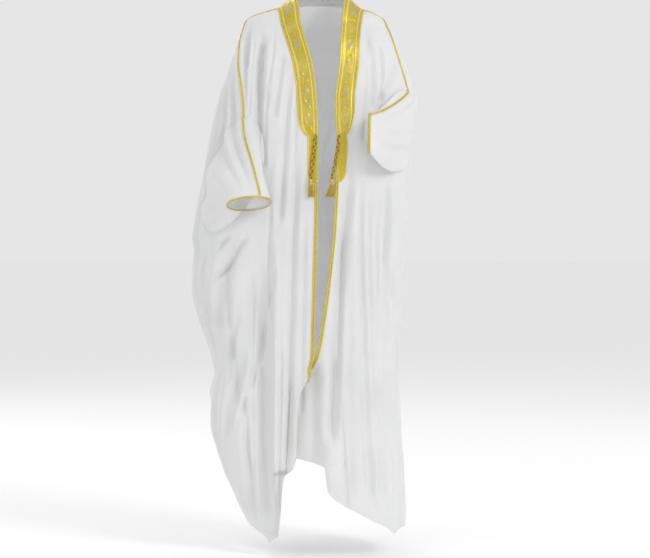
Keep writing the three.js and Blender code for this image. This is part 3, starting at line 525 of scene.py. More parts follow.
def front_columns(side):
    panel = "front_" + side
    neck, end = SHOULDERS[side][0]["x"], SHOULDERS[side][-1]["x"]
    spots = [(offset, 0) for offset in np.linspace(0, BAND, BAND_COLUMNS + 1)]
    spots += [(BAND, k / FRONT_COLUMNS) for k in range(1, FRONT_COLUMNS + 1)]
    spots += [(BAND + PIPING / 2, 1), (BAND + PIPING, 1)]
    columns = []
    for offset, share in spots:
        place = lambda total, offset=offset, share=share: front_place(total, offset, share)
        spread = place(end - neck) / (end - neck)
        tip = TIP[side]
        columns.append({
            "panel": panel,
            "place": place,
            "drop": lerp(NECK_DROP, END_DROP, float(smooth(spread))),
            "hem": lerp(tip["edge"], tip["side"], spread) - tip["point"] * (1 - abs(2 * spread - 1)),
            "top": seam_point(side, neck + place(end - neck), SEAM_Y),
        })
    return columns


def back_column(share, top, drop):
    side = (TIP["right"] if share < 0.5 else TIP["left"])["side"]
    rise = ((1 - math.cos(2 * math.pi * share)) / 2) ** 1.2
    place = lambda total: share * total
    return {"panel": "back", "place": place, "drop": drop, "hem": lerp(side, HEM_BACK, rise), "top": top}


def back_shoulder(side):
    """Columns from the shoulder's end to the neck."""
    neck, end = SHOULDERS[side][0]["x"], SHOULDERS[side][-1]["x"]
    steps = list(np.linspace(0, BAND_SHARE, SHOULDER_COLUMNS, endpoint=False))
    steps += list(np.linspace(BAND_SHARE, 1, SEAM_COLUMNS + 1))
    columns = []
    for t in steps:
        outer = lerp(end, neck + BAND, t / BAND_SHARE)
        inner = lerp(neck + BAND, neck, (t - BAND_SHARE) / (1 - BAND_SHARE))
        x = outer if t < BAND_SHARE else inner
        share = NECK_SHARE[0] * t if side == "right" else 1 - (1 - NECK_SHARE[1]) * t
        drop = lerp(END_DROP, NECK_DROP, float(smooth(t)))
        columns.append(back_column(share, seam_point(side, x, SEAM_Y), drop))
    return columns


def back_columns():
    middle = []
    for k in range(1, NECK_COLUMNS):
        t = k / NECK_COLUMNS
        lift = math.sin(math.pi * t)
        x = NECK["centre"] - NECK["x"] * math.cos(math.pi * t)
        top = (x, SEAM_Y + NECK["back"] * lift, NECK["z"] + NECK["rise"] * lift)
        middle.append(back_column(lerp(*NECK_SHARE, t), top, NECK_DROP))
    return back_shoulder("right") + middle + back_shoulder("left")[::-1]


def column_points(column):
    """A column's points from the shoulder to the hem, with each one's place on its cross-section."""
    top = np.array(column["top"], float)
    angle = np.radians(np.linspace(0, 90, SHOULDER_ROWS, endpoint=False))
    rounded = top[2] - column["drop"] * (1 - np.cos(angle))
    shares = np.interp(np.linspace(0, 1, HANG_ROWS + 1), DENSE_ROWS, DENSE_HEIGHTS)
    straight = lerp(top[2] - column["drop"], column["hem"], shares)
    z = np.concatenate([rounded, straight])
    spots, along, total = hanging(column["panel"], z, column["place"])
    out = np.ones(len(z))
    out[:SHOULDER_ROWS] = np.sin(angle)
    spots[:, :2] = lerp(top[:2], spots[:, :2], out[:, None])
    return spots, along, total


COLUMNS = front_columns("right") + back_columns() + front_columns("left")[::-1]
FRONT_COUNT = BAND_COLUMNS + 1 + FRONT_COLUMNS + 2
SEAMS = {"right": FRONT_COUNT - 1, "left": len(COLUMNS) - FRONT_COUNT - 1}
FRONT_SEAM = {"right": SEAMS["right"], "left": SEAMS["left"] + 1}  # the front's column at each side seam
BACK_SEAM = {"right": SEAMS["right"] + 1, "left": SEAMS["left"]}  # the back's column there
LAST_COLUMN = len(COLUMNS) - 1
EDGE = {"right": 0, "left": LAST_COLUMN}  # the column at each front edge
ROW_COUNT = SHOULDER_ROWS + HANG_ROWS + 1
_made = [column_points(column) for column in COLUMNS]
POINTS = np.array([made[0] for made in _made])
ALONG = np.array([made[1] for made in _made])
TOTAL = np.array([made[2] for made in _made])


def row_of(height):
    """The row, as a fraction, at a height read at the front edge."""
    share = (height - ROW_TOP) / (ROW_END - ROW_TOP)
    return SHOULDER_ROWS + HANG_ROWS * float(np.interp(share, DENSE_HEIGHTS, DENSE_ROWS))


# ---------------------------------------------------------------- armholes
def side_offsets(side):
    """Each point's distance along the cloth to a side seam, forward positive."""
    offsets = TOTAL - ALONG
    back = slice(SEAMS["right"] + 1, SEAMS["left"] + 1)
    offsets[back] = -ALONG[back] if side == "right" else ALONG[back] - TOTAL[back]
    return offsets


def open_cells(side):
    """The cells of the cloth inside an armhole."""
    hole = ARMHOLES[side]
    offsets = side_offsets(side)
    cells = set()
    for i in range(max(0, SEAMS[side] - FRONT_COUNT + 1), min(LAST_COLUMN, SEAMS[side] + FRONT_COUNT)):
        z = (POINTS[i, :-1, 2] + POINTS[i + 1, 1:, 2]) / 2
        offset = (offsets[i, :-1] + offsets[i + 1, 1:]) / 2 - hole["forward"]
        inside = np.hypot(offset / hole["wide"], (z - hole["z"]) / hole["high"]) < 1
        cells |= {(i, int(j)) for j in np.nonzero(inside)[0] if j >= SHOULDER_ROWS}
    return cells


def rim_loop(cells):
    """The points round an armhole in order, and the cells beside it that lose a corner."""
    after, beside = {}, {}
    for i, j in cells:
        sides = [
            ((i, j), (i + 1, j), (i, j - 1)),
            ((i + 1, j), (i + 1, j + 1), (i + 1, j)),
            ((i + 1, j + 1), (i, j + 1), (i, j + 1)),
            ((i, j + 1), (i, j), (i - 1, j)),
        ]
        for start, end, neighbour in sides:
            if neighbour not in cells:
                after[start] = end
                beside[start] = neighbour
    first = min(after)
    loop = [first]
    while after[loop[-1]] != first:
        loop.append(after[loop[-1]])
    kept, clipped = [], {}
    for k, spot in enumerate(loop):
        if beside[loop[k - 1]] == beside[spot]:
            clipped[beside[spot]] = spot
        else:
            kept.append(spot)
    return kept, clipped


def round_rim(side, loop):
    """Brings the rim's points onto a true ellipse on the cloth."""
    hole = ARMHOLES[side]
    offsets = side_offsets(side)
    at_seam = hole["high"] * math.sqrt(1 - (hole["forward"] / hole["wide"]) ** 2)
    for i, j in loop:
        z = POINTS[i, j, 2]
        offset = offsets[i, j] - hole["forward"]
        reach = math.hypot(offset / hole["wide"], (z - hole["z"]) / hole["high"])
        new_offset = hole["forward"] + offset / reach
        new_z = hole["z"] + (z - hole["z"]) / reach
        if i in (SEAMS[side], SEAMS[side] + 1):
            new_offset = 0
            new_z = hole["z"] + math.copysign(at_seam, z - hole["z"])
        panel = COLUMNS[i]["panel"]

        def place(total, panel=panel, new_offset=new_offset):
            if panel != "back":
                return total - new_offset
            return 0 * total - new_offset if side == "right" else total + new_offset

        spots, _, _ = hanging(panel, np.array([new_z]), place)
        POINTS[i, j] = spots[0]


OPEN, RIMS, CLIPPED = {}, {}, {}
for _side in SEAMS:
    OPEN[_side] = open_cells(_side)
    RIMS[_side], _clipped = rim_loop(OPEN[_side])
    CLIPPED.update(_clipped)
    round_rim(_side, RIMS[_side])
ALL_OPEN = OPEN["right"] | OPEN["left"]


# ---------------------------------------------------------------- faces and normals of the body
def number(i, j):
    return i * ROW_COUNT + j


DOWN_RIGHT = np.linalg.norm(POINTS[:-1, :-1] - POINTS[1:, 1:], axis=2)
DOWN_LEFT = np.linalg.norm(POINTS[1:, :-1] - POINTS[:-1, 1:], axis=2)


def split(corners, i, j):
    """A slanted cell as two triangles, cut along its shorter diagonal; any other cell as it is."""
    a, b, c, d = corners
    if DOWN_RIGHT[i, j] > 1.3 * DOWN_LEFT[i, j]:
        return [[a, b, d], [b, c, d]]
    if DOWN_LEFT[i, j] > 1.3 * DOWN_RIGHT[i, j]:
        return [[a, b, c], [a, c, d]]
    return [corners]


def panel_faces(start, end):
    faces = []
    for i in range(start, end):
        for j in range(ROW_COUNT - 1):
            if (i, j) in ALL_OPEN:
                continue
            corners = [(i, j), (i + 1, j), (i + 1, j + 1), (i, j + 1)]
            if (i, j) in CLIPPED:
                corners.remove(CLIPPED[i, j])
            cell = [number(*corner) for corner in corners]
            faces += split(cell, i, j) if len(cell) == 4 else [cell]
    return faces


PANELS = {
    "front_right": panel_faces(0, SEAMS["right"]),
    "back": panel_faces(SEAMS["right"] + 1, SEAMS["left"]),
    "front_left": panel_faces(SEAMS["left"] + 1, LAST_COLUMN),
}
SPOTS = POINTS.reshape(-1, 3)


def add_normals(normals, spots, faces):
    """Adds each face's area-weighted normal to its corners."""
    for size in (3, 4):
        picked = np.array([face for face in faces if len(face) == size], int)
        if not len(picked):
            continue
        corners = spots[picked]
        if size == 3:
            normal = np.cross(corners[:, 1] - corners[:, 0], corners[:, 2] - corners[:, 0])
        else:
            normal = np.cross(corners[:, 2] - corners[:, 0], corners[:, 3] - corners[:, 1])
        for k in range(size):
            np.add.at(normals, picked[:, k], normal)


def join_seams(normals):
    """The same normals on both sides of the side seams and of the shoulder seam."""
    grid = normals.reshape(len(COLUMNS), ROW_COUNT, 3)
    for seam in SEAMS.values():
        grid[seam] = grid[seam + 1] = grid[seam] + grid[seam + 1]
    for i, column in enumerate(COLUMNS):
        if column["top"][1] == SEAM_Y:
            grid[i, 0, 1] = 0


BODY_NORMALS = np.zeros_like(SPOTS)
for _faces in PANELS.values():
    add_normals(BODY_NORMALS, SPOTS, _faces)
join_seams(BODY_NORMALS)


# ---------------------------------------------------------------- sleeves
def hermite(start, leave, end, arrive, t):
    h1, h2 = (1 + 2 * t) * (1 - t) ** 2, t * (1 - t) ** 2
    h3, h4 = t * t * (3 - 2 * t), t * t * (t - 1)
    return h1 * start + h2 * leave + h3 * end + h4 * arrive


def sleeve_creases(side, degrees, t):
    """Depth of the creases at a share t of a sleeve's length."""
    depth = np.zeros_like(degrees)
    for crease in SLEEVE_CREASES[side]:
        share = (t - crease["start"]) / (crease["end"] - crease["start"])
        if 0 < share < 1:
            away = (degrees - lerp(crease["from_"], crease["to"], t) + 180) % 360 - 180
            strength = smooth(share / 0.3) * smooth((1 - share) / 0.5)
            depth = depth + crease["depth"] * strength * bell(away, 0, crease["width"])
    return depth


RIM_REACH = 5  # neighbours on each side that a rim point's normal is averaged with


def ring_mean(values, reach):
    """Each row averaged with its neighbours round a closed ring."""
    return sum(np.roll(values, k, axis=0) for k in range(-reach, reach + 1)) / (2 * reach + 1)


def sleeve_points(side):
    """Lines of points from the armhole's rim to the cuff: an array of line, step and x, y, z."""
    sleeve, hole = SLEEVES[side], ARMHOLES[side]
    rim = [spot for spot in RIMS[side] if spot[0] != BACK_SEAM[side]]
    numbers = [number(*spot) for spot in rim]
    root, normal = SPOTS[numbers], unit(ring_mean(BODY_NORMALS[numbers], RIM_REACH))
    offset = np.array([side_offsets(side)[spot] for spot in rim]) - hole["forward"]
    angle = np.arctan2((root[:, 2] - hole["z"]) / hole["high"], offset / hole["wide"])[:, None]
    around = angle + math.radians(sleeve["turn"])
    cuff, wide, deep = (np.array(sleeve[key], float) for key in ("cuff", "wide", "deep"))
    end = cuff + wide * np.cos(around) + deep * np.sin(around)
    facing = np.clip(0.75 - 0.6 * np.sin(angle), 0, 1)
    down = unit(np.array(sleeve["down"], float))
    slack = (1 + np.sin(angle)) / 2
    leave = unit(lerp(down, normal, facing)) * sleeve["reach"] * lerp(0.5, 1, slack)
    arrive = np.array(sleeve["axis"], float) * sleeve["reach"] * lerp(0.15, 0.8, slack)
    outward = unit(end - cuff)
    count, height, phase = sleeve["ripples"]
    lines = []
    for t in np.linspace(0, 1, SLEEVE_ROWS + 1):
        spot = hermite(root, leave, end, arrive, t)
        swell = math.sin(math.pi * t) ** 2
        spot[:, 2] -= sleeve["sag"] * np.maximum(0, -np.sin(angle[:, 0])) * swell
        ripple = height * np.sin(count * angle + phase)
        for fine_count, fine_height, fine_phase in FINE_RIPPLES[side]:
            ripple = ripple + fine_height * np.sin(fine_count * angle + fine_phase + 2.2 * t)
        ripple = ripple - sleeve_creases(side, np.degrees(angle), t) / max(swell, 0.25)
        lines.append(spot + outward * ripple * swell)
    return np.array(lines).transpose(1, 0, 2), numbers


def faces_outward(lines):
    """Whether faces that follow the lines' order point away from the sleeve's middle."""
    middle = lines[:, lines.shape[1] // 2]
    step = np.roll(middle, -1, axis=0) - middle
    down = lines[:, lines.shape[1] // 2 + 1] - middle
    return float((np.cross(step, down) * (middle - middle.mean(0))).sum()) > 0


# Each sleeve's lines of points, the body's point where each line starts, its faces and its normals.
SLEEVE_LINES, SLEEVE_ROOTS, SLEEVE_FACES, SLEEVE_NORMALS = {}, {}, {}, {}
SHARED = BODY_NORMALS.copy()
for _side in SEAMS:
    _lines, _roots = sleeve_points(_side)
    _count, _rows = _lines.shape[:2]
    _faces = grid_faces(_count, _rows, loop_rows=True)
    _faces = turned_over(_faces) if faces_outward(_lines) else [face[1:] + face[:1] for face in _faces]
    _normals = np.zeros((_count * _rows, 3))
    add_normals(_normals, _lines.reshape(-1, 3), _faces)
    _normals = _normals.reshape(_count, _rows, 3)
    _normals[:, 0] = SHARED[_roots] = _normals[:, 0] + BODY_NORMALS[_roots]
    SLEEVE_LINES[_side], SLEEVE_ROOTS[_side] = _lines, _roots
    SLEEVE_FACES[_side], SLEEVE_NORMALS[_side] = _faces, unit(_normals)
NORMALS = unit(SHARED)
NORMAL_GRID = NORMALS.reshape(len(COLUMNS), ROW_COUNT, 3)


# ---------------------------------------------------------------- meshes
def make_object(name, spots, faces, material, uvs=None, normals=None):
    """A mesh object from points in millimetres."""
    mesh = bpy.data.meshes.new(name)
    mesh.from_pydata((np.asarray(spots) * MM).tolist(), [], faces)
    if uvs is not None:
        layer = mesh.uv_layers.new(name="UVMap")
        corner = np.zeros(len(mesh.loops), np.int32)
        mesh.loops.foreach_get("vertex_index", corner)
        layer.data.foreach_set("uv", (np.asarray(uvs) * MM)[corner].astype(np.float32).ravel())
    mesh.polygons.foreach_set("use_smooth", [True] * len(mesh.polygons))
    if normals is not None:
        mesh.normals_split_custom_set_from_vertices(np.asarray(normals).tolist())
    mesh.materials.append(material)
    made = bpy.data.objects.new(name, mesh)
    bpy.context.scene.collection.objects.link(made)
    return made


def shell(name, spots, normals, faces, thickness, material, uvs):
    """A thin closed wall: the faces, the same faces a thickness further in, and their rim."""
    used = sorted({vertex for face in faces for vertex in face})
    place = {vertex: k for k, vertex in enumerate(used)}
    count = len(used)
    outer, normal = spots[used], normals[used]
    inner = outer - normal * np.broadcast_to(thickness, (len(spots),))[used][:, None]
    walls = closed_wall([[place[vertex] for vertex in face] for face in faces], count)
    both = np.concatenate([outer, inner])
    facing = np.concatenate([normal, -normal])
    return make_object(name, both, walls, material, np.tile(uvs[used], (2, 1)), facing)


def closed_wall(faces, count):
    """The faces, the same faces on points numbered a count further on, and the rim between them."""
    edges = {(face[k - 1], face[k]) for face in faces for k in range(len(face))}
    rim = sorted((a, b) for a, b in edges if (b, a) not in edges)
    behind = [[vertex + count for vertex in reversed(face)] for face in faces]
    return faces + behind + [[b, a, a + count, b + count] for a, b in rim]


# ---------------------------------------------------------------- materials
def fill(node, numbered=(), **settings):
    """Sets a node's properties and inputs, by name or by number; another node's output is linked in."""
    inputs = list(numbered)
    for key, value in settings.items():
        name = key.replace("_", " ")
        if name in node.inputs:
            inputs.append((name, value))
        else:
            setattr(node, key, value)
    for name, value in inputs:
        if isinstance(value, bpy.types.NodeSocket):
            node.id_data.links.new(value, node.inputs[name])
        else:
            node.inputs[name].default_value = value
    return node


def principled(name):
    """A new material, its shader and a function that adds a node to it."""
    material = bpy.data.materials.new(name)
    material.use_nodes = True
    nodes = material.node_tree.nodes

    def node(kind, numbered=(), **settings):
        return fill(nodes.new(kind), numbered, **settings)

    return material, nodes["Principled BSDF"], node


def ramp(node, factor, stops):
    """The colour output of a ramp with the stops (position, colour)."""
    made = node("ShaderNodeValToRGB", Fac=factor)
    elements = made.color_ramp.elements
    elements[0].position, elements[0].color = stops[0][0], (*stops[0][1], 1)
    elements[1].position, elements[1].color = stops[-1][0], (*stops[-1][1], 1)
    for position, colour in stops[1:-1]:
        elements.new(position).color = (*colour, 1)
    return made.outputs["Color"]


def cloth_material():
    """Fine white plain weave with faint slubs, a soft sheen and light that comes through."""
    material, shader, node = principled("cloth_white")
    place = node("ShaderNodeTexCoord").outputs
    cloudy = node("ShaderNodeTexNoise", Scale=7.0, Detail=3.0, Roughness=0.55, Vector=place["Object"])
    tone = ramp(node, cloudy.outputs["Fac"], [(0.3, (0.89, 0.893, 0.897)), (0.7, (0.93, 0.93, 0.93))])
    thread = {"Scale": 260.0, "Distortion": 0.6, "Detail": 1.0, "Vector": place["UV"]}
    warp = node("ShaderNodeTexWave", bands_direction="X", **thread).outputs["Fac"]
    weft = node("ShaderNodeTexWave", bands_direction="Y", **thread).outputs["Fac"]
    weave = node("ShaderNodeMath", [(0, warp), (1, weft)], operation="MULTIPLY")
    slub = node("ShaderNodeTexNoise", Scale=90.0, Detail=2.0, Vector=place["UV"])
    height = node("ShaderNodeMath", [(0, weave.outputs[0]), (1, slub.outputs["Fac"])], operation="ADD")
    bump = node("ShaderNodeBump", Strength=0.12, Distance=0.0003, Height=height.outputs[0])
    fill(shader, Base_Color=tone, Roughness=0.82, Normal=bump.outputs["Normal"])
    fill(shader, Sheen_Weight=0.35, Sheen_Roughness=0.45, Specular_IOR_Level=0.25)
    glow = node("ShaderNodeBsdfTranslucent", Color=tone)
    blend = node("ShaderNodeMixShader", [(1, shader.outputs["BSDF"]), (2, glow.outputs["BSDF"])], Fac=0.4)
    fill(material.node_tree.nodes["Material Output"], Surface=blend.outputs["Shader"])
    return material


def tinted(node, factor, colour, other):
    """A colour that turns into the other one where the factor is 1."""
    blend = node("ShaderNodeMix", [(6, colour), (7, other)], data_type="RGBA", Factor=factor)
    return blend.outputs[2]


def gold_material(name, gap_ground_and_shade, light, roughness, thread, second=None):
    """Metallic thread: fine ridges of gold, darker between them where the ground shows and painted shade
    fills the low gaps, with other colours where attributes mark them.
    """
    material, shader, node = principled(name)
    place = node("ShaderNodeTexCoord").outputs
    ridges = {"Scale": thread, "Distortion": 2.5, "Detail": 2.0, "bands_direction": "DIAGONAL"}
    wave = node("ShaderNodeTexWave", Vector=place["UV"], **ridges).outputs["Fac"]
    speck = node("ShaderNodeTexNoise", Scale=420.0, Detail=2.0, Roughness=0.6, Vector=place["Object"])
    parts = [(0, wave), (1, 0.45), (2, speck.outputs["Fac"])]
    mixed = node("ShaderNodeMath", parts, operation="MULTIPLY_ADD").outputs[0]
    between = lerp(np.array(gap_ground_and_shade), np.array(light), 0.6)
    # Painted shade: the ramp follows the bump's height, so the low gaps between the thread ridges take the
    # dark colour.
    colour = ramp(node, mixed, [(0.35, gap_ground_and_shade), (0.62, between), (0.95, light)])
    if second:
        other = ramp(node, mixed, [(0.35, second[0]), (0.95, second[1])])
        mask = node("ShaderNodeAttribute", attribute_name="second")
        colour = tinted(node, mask.outputs["Fac"], colour, other)
        # Painted highlight: pale gold where the glint attribute marks the band's raised lines.
        glint = node("ShaderNodeAttribute", attribute_name="glint")
        colour = tinted(node, glint.outputs["Fac"], colour, (*GLINT_GOLD, 1))
    rough = node("ShaderNodeMapRange", Value=mixed, To_Min=roughness + 0.12, To_Max=roughness - 0.08)
    bump = node("ShaderNodeBump", Strength=0.5, Distance=0.0005, Height=mixed)
    fill(shader, Base_Color=colour, Roughness=rough.outputs["Result"], Normal=bump.outputs["Normal"])
    fill(shader, Metallic=0.6, Sheen_Weight=0.04)
    return material


# Colours are linear; a pair is the dark between the threads, partly their ground and partly painted shade in
# the low gaps, and the light colour on the threads.
WHITE = cloth_material()
# Pale gold of the painted highlight on the bands' raised lines.
GLINT_GOLD = (0.90, 0.78, 0.24)
SILVER = ((0.30, 0.30, 0.26), (0.52, 0.53, 0.48))
BROWN = ((0.09, 0.045, 0.01), (0.42, 0.25, 0.04))
ZARI = gold_material("zari_brocade", (0.16, 0.115, 0.01), (0.77, 0.60, 0.06), 0.42, 300.0, SILVER)
BRAID = gold_material("zari_braid", (0.32, 0.24, 0.03), (0.86, 0.70, 0.12), 0.38, 420.0)
CORD = gold_material("cord_brown_gold", (0.22, 0.14, 0.015), (0.80, 0.58, 0.09), 0.42, 500.0, BROWN)
THREAD = gold_material("tassel_thread", (0.30, 0.20, 0.02), (0.84, 0.62, 0.10), 0.40, 600.0)


# ---------------------------------------------------------------- cloth pieces
def body_uvs():
    """Distance along the cloth across and down, in millimetres."""
    down = np.linalg.norm(np.diff(POINTS, axis=1), axis=2)
    down = np.concatenate([np.zeros((len(COLUMNS), 1)), np.cumsum(down, axis=1)], axis=1)
    return np.stack([ALONG, -down], -1).reshape(-1, 2)


def body_thickness():
    thickness = np.full((len(COLUMNS), ROW_COUNT), CLOTH)
    thickness[:, -3:] = HEM_THICK
    return thickness.ravel()


UVS = body_uvs()
THICKNESS = body_thickness()
pieces = {}
for _name, _faces in PANELS.items():
    pieces[_name] = shell(_name + "_cloth", SPOTS, NORMALS, _faces, THICKNESS, WHITE, UVS)
for _side in SEAMS:
    _lines = SLEEVE_LINES[_side]
    _count, _rows = _lines.shape[:2]
    _uvs = np.stack(np.meshgrid(np.arange(_count) * 4.5, -np.arange(_rows) * 4.0, indexing="ij"), -1)
    pieces["sleeve_" + _side] = shell(
        f"sleeve_{_side}_cloth",
        _lines.reshape(-1, 3),
        SLEEVE_NORMALS[_side].reshape(-1, 3),
        SLEEVE_FACES[_side],
        CLOTH,
        WHITE,
        _uvs.reshape(-1, 2),
    )


# ---------------------------------------------------------------- places on the cloth
def sample(grid, i, j):
    """Values of a column-and-row grid at fractional columns and rows."""
    i = np.clip(np.asarray(i, float), 0, grid.shape[0] - 1.001)
    j = np.clip(np.asarray(j, float), 0, grid.shape[1] - 1.001)
    i0, j0 = np.floor(i).astype(int), np.floor(j).astype(int)
    s, t = (i - i0)[..., None], (j - j0)[..., None]
    upper = lerp(grid[i0, j0], grid[i0 + 1, j0], s)
    lower = lerp(grid[i0, j0 + 1], grid[i0 + 1, j0 + 1], s)
    return lerp(upper, lower, t)


def on_cloth(i, j):
    """The cloth's points and normals at fractional columns and rows."""
    return sample(POINTS, i, j), unit(sample(NORMAL_GRID, i, j))


def edge_column(side, offset):
    """The fractional column at an offset from the front edge, inside the band's width."""
    return EDGE[side] - SIGN[side] * (np.asarray(offset) * BAND_COLUMNS / BAND)


def lengths_down(spots):
    steps = np.linalg.norm(np.diff(spots, axis=0), axis=1)
    return np.concatenate([[0], np.cumsum(steps)])


# ---------------------------------------------------------------- embroidery of the bands
FLOWER_PITCH = 133  # between the silver flowers along the band
FLOWER_START = -81
FLOWER_RADIUS, FLOWER_PETALS = 9.0, 8
BUD_RADIUS, BUD_PETALS = 6.5, 6  # halfway between two flowers
LEAF = {"aside": 5.5, "long": 7.5, "wide": 2.6, "leans": (0.5, -0.65)}
LEAF_PLACES = ((-46, 1), (-27, -1), (27, 1), (46, -1))  # along from a flower, and to which side
INNER_LEAF = 0.75  # how far aside the second and fourth leaf stand, as a share of the others
VINE = {"swing": 8, "pitch": 58, "half": 1.2}
LATTICE_PITCH = 7
STITCH_PITCH = 5.0
RIM_LINE, OUTER_LINE, STITCHES, INNER_LINE = 1.6, 6.0, 8.7, 11.5  # distances from the band's edge
# Distance from the band's edge of the painted pale-gold highlight line.
GLINT_LINE = 10.5
GROUND_FROM = 12  # the ground between the borders starts this far from the edge


def flower(u, v, radius, petals):
    """Height of a round flower centred on 0, 0; 0 outside its petals."""
    reach = np.hypot(u, v)
    edge = radius * (0.68 + 0.32 * np.abs(np.cos(petals / 2 * np.arctan2(v, u))))
    body = np.clip(1 - (reach / edge) ** 4, 0, 1)
    heart = np.clip(1 - (reach / (0.28 * radius)) ** 2, 0, 1)
    return body * (0.55 + 0.45 * np.sin(np.clip(reach / edge, 0, 1) * math.pi)) + 0.6 * heart


def leaf(u, v, at_u, at_v, lean, long, wide):
    """Height of a leaf that leans from the u direction; long and wide are its half axes."""
    c, s = math.cos(lean), math.sin(lean)
    x, y = (u - at_u) * c + (v - at_v) * s, (v - at_v) * c - (u - at_u) * s
    return np.clip(1 - (x / long) ** 2 - (np.abs(y) / wide) ** 1.5, 0, 1)


def embroidery(u, v, width):
    """Relief height in millimetres, share of silver and share of painted highlight (glint), u across and v
    along a band.
    """
    across = u - width / 2
    edge = np.minimum(u, width - u)
    wide_part = width > STRIP + 8
    room = np.clip((width - STRIP) / 12, 0, 1)
    v = v - FLOWER_START
    along = (v + FLOWER_PITCH / 2) % FLOWER_PITCH - FLOWER_PITCH / 2
    turn = np.floor((v + FLOWER_PITCH / 2) / FLOWER_PITCH)
    halfway = np.abs(along) - FLOWER_PITCH / 2

    height = 0.9 * bell(edge, RIM_LINE, 1.3) + 0.55 * bell(edge, OUTER_LINE, 0.9)
    height += 0.55 * bell(edge, INNER_LINE, 0.9) * wide_part
    slanted = v + FLOWER_START + 0.9 * np.abs(across)
    stitches = 0.5 + 0.5 * np.sin(2 * math.pi * slanted / STITCH_PITCH)
    height += 0.5 * stitches * bell(edge, STITCHES, 1.5, 4) * wide_part
    blossom = flower(across, along * 0.9, FLOWER_RADIUS, FLOWER_PETALS) * room
    bud = flower(across, halfway, BUD_RADIUS, BUD_PETALS) * room
    height += blossom + 0.7 * bud
    for k, (at_v, flip) in enumerate(LEAF_PLACES):
        aside = LEAF["aside"] * flip * (INNER_LEAF if k % 2 else 1)
        for lean in LEAF["leans"]:
            slant = lean * flip + math.pi / 2
            height += 0.8 * leaf(across, along, aside, at_v, slant, LEAF["long"], LEAF["wide"]) * room
    vine = bell(across, VINE["swing"] * np.sin(2 * math.pi * v / VINE["pitch"]), VINE["half"])
    height += 0.5 * vine * room * (np.hypot(across, along) > 1.5 + FLOWER_RADIUS)
    lattice = np.abs(np.sin(math.pi * (v + across) / LATTICE_PITCH))
    lattice = lattice * np.abs(np.sin(math.pi * (v - across) / LATTICE_PITCH))
    height += 0.22 * lattice

    heart = np.clip(1.4 - np.hypot(across, along) / 2.6, 0, 1)
    silver = np.clip(1.5 * blossom - 0.25, 0, 1) * (1 - 0.8 * heart) + 0.12 * np.clip(2 * bud, 0, 1)
    shimmer = 0.14 * np.clip(0.5 + 0.5 * np.sin(turn * 2.1 + v / 11), 0, 1)
    silver += shimmer * room * (edge > GROUND_FROM)
    # Painted highlight: pale-gold glint along the rim line, a line near the inner border, and the lattice
    # halfway between flowers.
    glint = bell(edge, GLINT_LINE, 1.3) * wide_part + 0.55 * bell(edge, RIM_LINE, 1.2)
    glint += 0.5 * bell(halfway, 0, 15) * (edge > GROUND_FROM + 1) * room * lattice
    return height, np.clip(silver, 0, 1), np.clip(glint, 0, 1)


BAND_LIFT = 0.5  # the band's ground above the cloth
BAND_BODY = 0.9  # thickness under the relief
BAND_CELLS = 42  # across a band
BAND_STEP = 0.28  # rows or columns of the cloth from one line of points on a band to the next


def mark(made, name, shares):
    """How much of one of a gold material's other colours each point takes."""
    layer = made.data.attributes.new(name, "FLOAT", "POINT")
    layer.data.foreach_set("value", shares.astype(np.float32))


def band_grid(name, spots, normals, u, v, width, node):
    """An embroidered band over a grid of points on the cloth, shaded by its own relief."""
    height, silver, glint = embroidery(u, v, width)
    rows, columns = u.shape
    taper = np.clip(np.minimum(u, width - u) / 1.2, 0.25, 1)
    raised = (BAND_BODY + height) * taper
    outer = spots + normals * (BAND_LIFT + raised)[..., None]
    faces = grid_faces(rows, columns)
    steps = np.cross(outer[1, 1] - outer[0, 0], outer[1, 0] - outer[0, 1])
    if float((steps * normals[0, 0]).sum()) < 0:
        faces = [face[::-1] for face in faces]
    inner = outer - normals * raised[..., None]
    both = np.concatenate([outer.reshape(-1, 3), inner.reshape(-1, 3)])
    uvs = np.tile(np.stack([u, v], -1).reshape(-1, 2), (2, 1))
    made = make_object(name, both, closed_wall(faces, rows * columns), ZARI, uvs)
    mark(made, "second", np.tile(silver.ravel(), 2))
    mark(made, "glint", np.tile(glint.ravel(), 2))
    pieces[node] = made


def band_width(row):
    """The front band's width at a row: wide, then the narrow strip, each with a rounded outer corner."""

    def rounded(end, corner):
        return np.sqrt(np.clip(1 - np.clip((row - row_of(end) + corner) / corner, 0, 1) ** 2, 0, 1))

    return PIPING + (STRIP - PIPING) * rounded(STRIP_END, 5.0) + (BAND - STRIP) * rounded(BAND_END, 7.0)


def front_band(side):
    rows = np.arange(0, row_of(STRIP_END) + 0.2, BAND_STEP)
    width = band_width(rows)
    u = width[:, None] * np.linspace(0, 1, BAND_CELLS + 1)
    j = np.broadcast_to(rows[:, None], u.shape)
    spots, normals = on_cloth(edge_column(side, u), j)
    v = np.broadcast_to(lengths_down(spots[:, 5])[:, None], u.shape)
    band_grid(f"band_{side}_brocade", spots, normals, u, v - 8, width[:, None], "band_" + side)


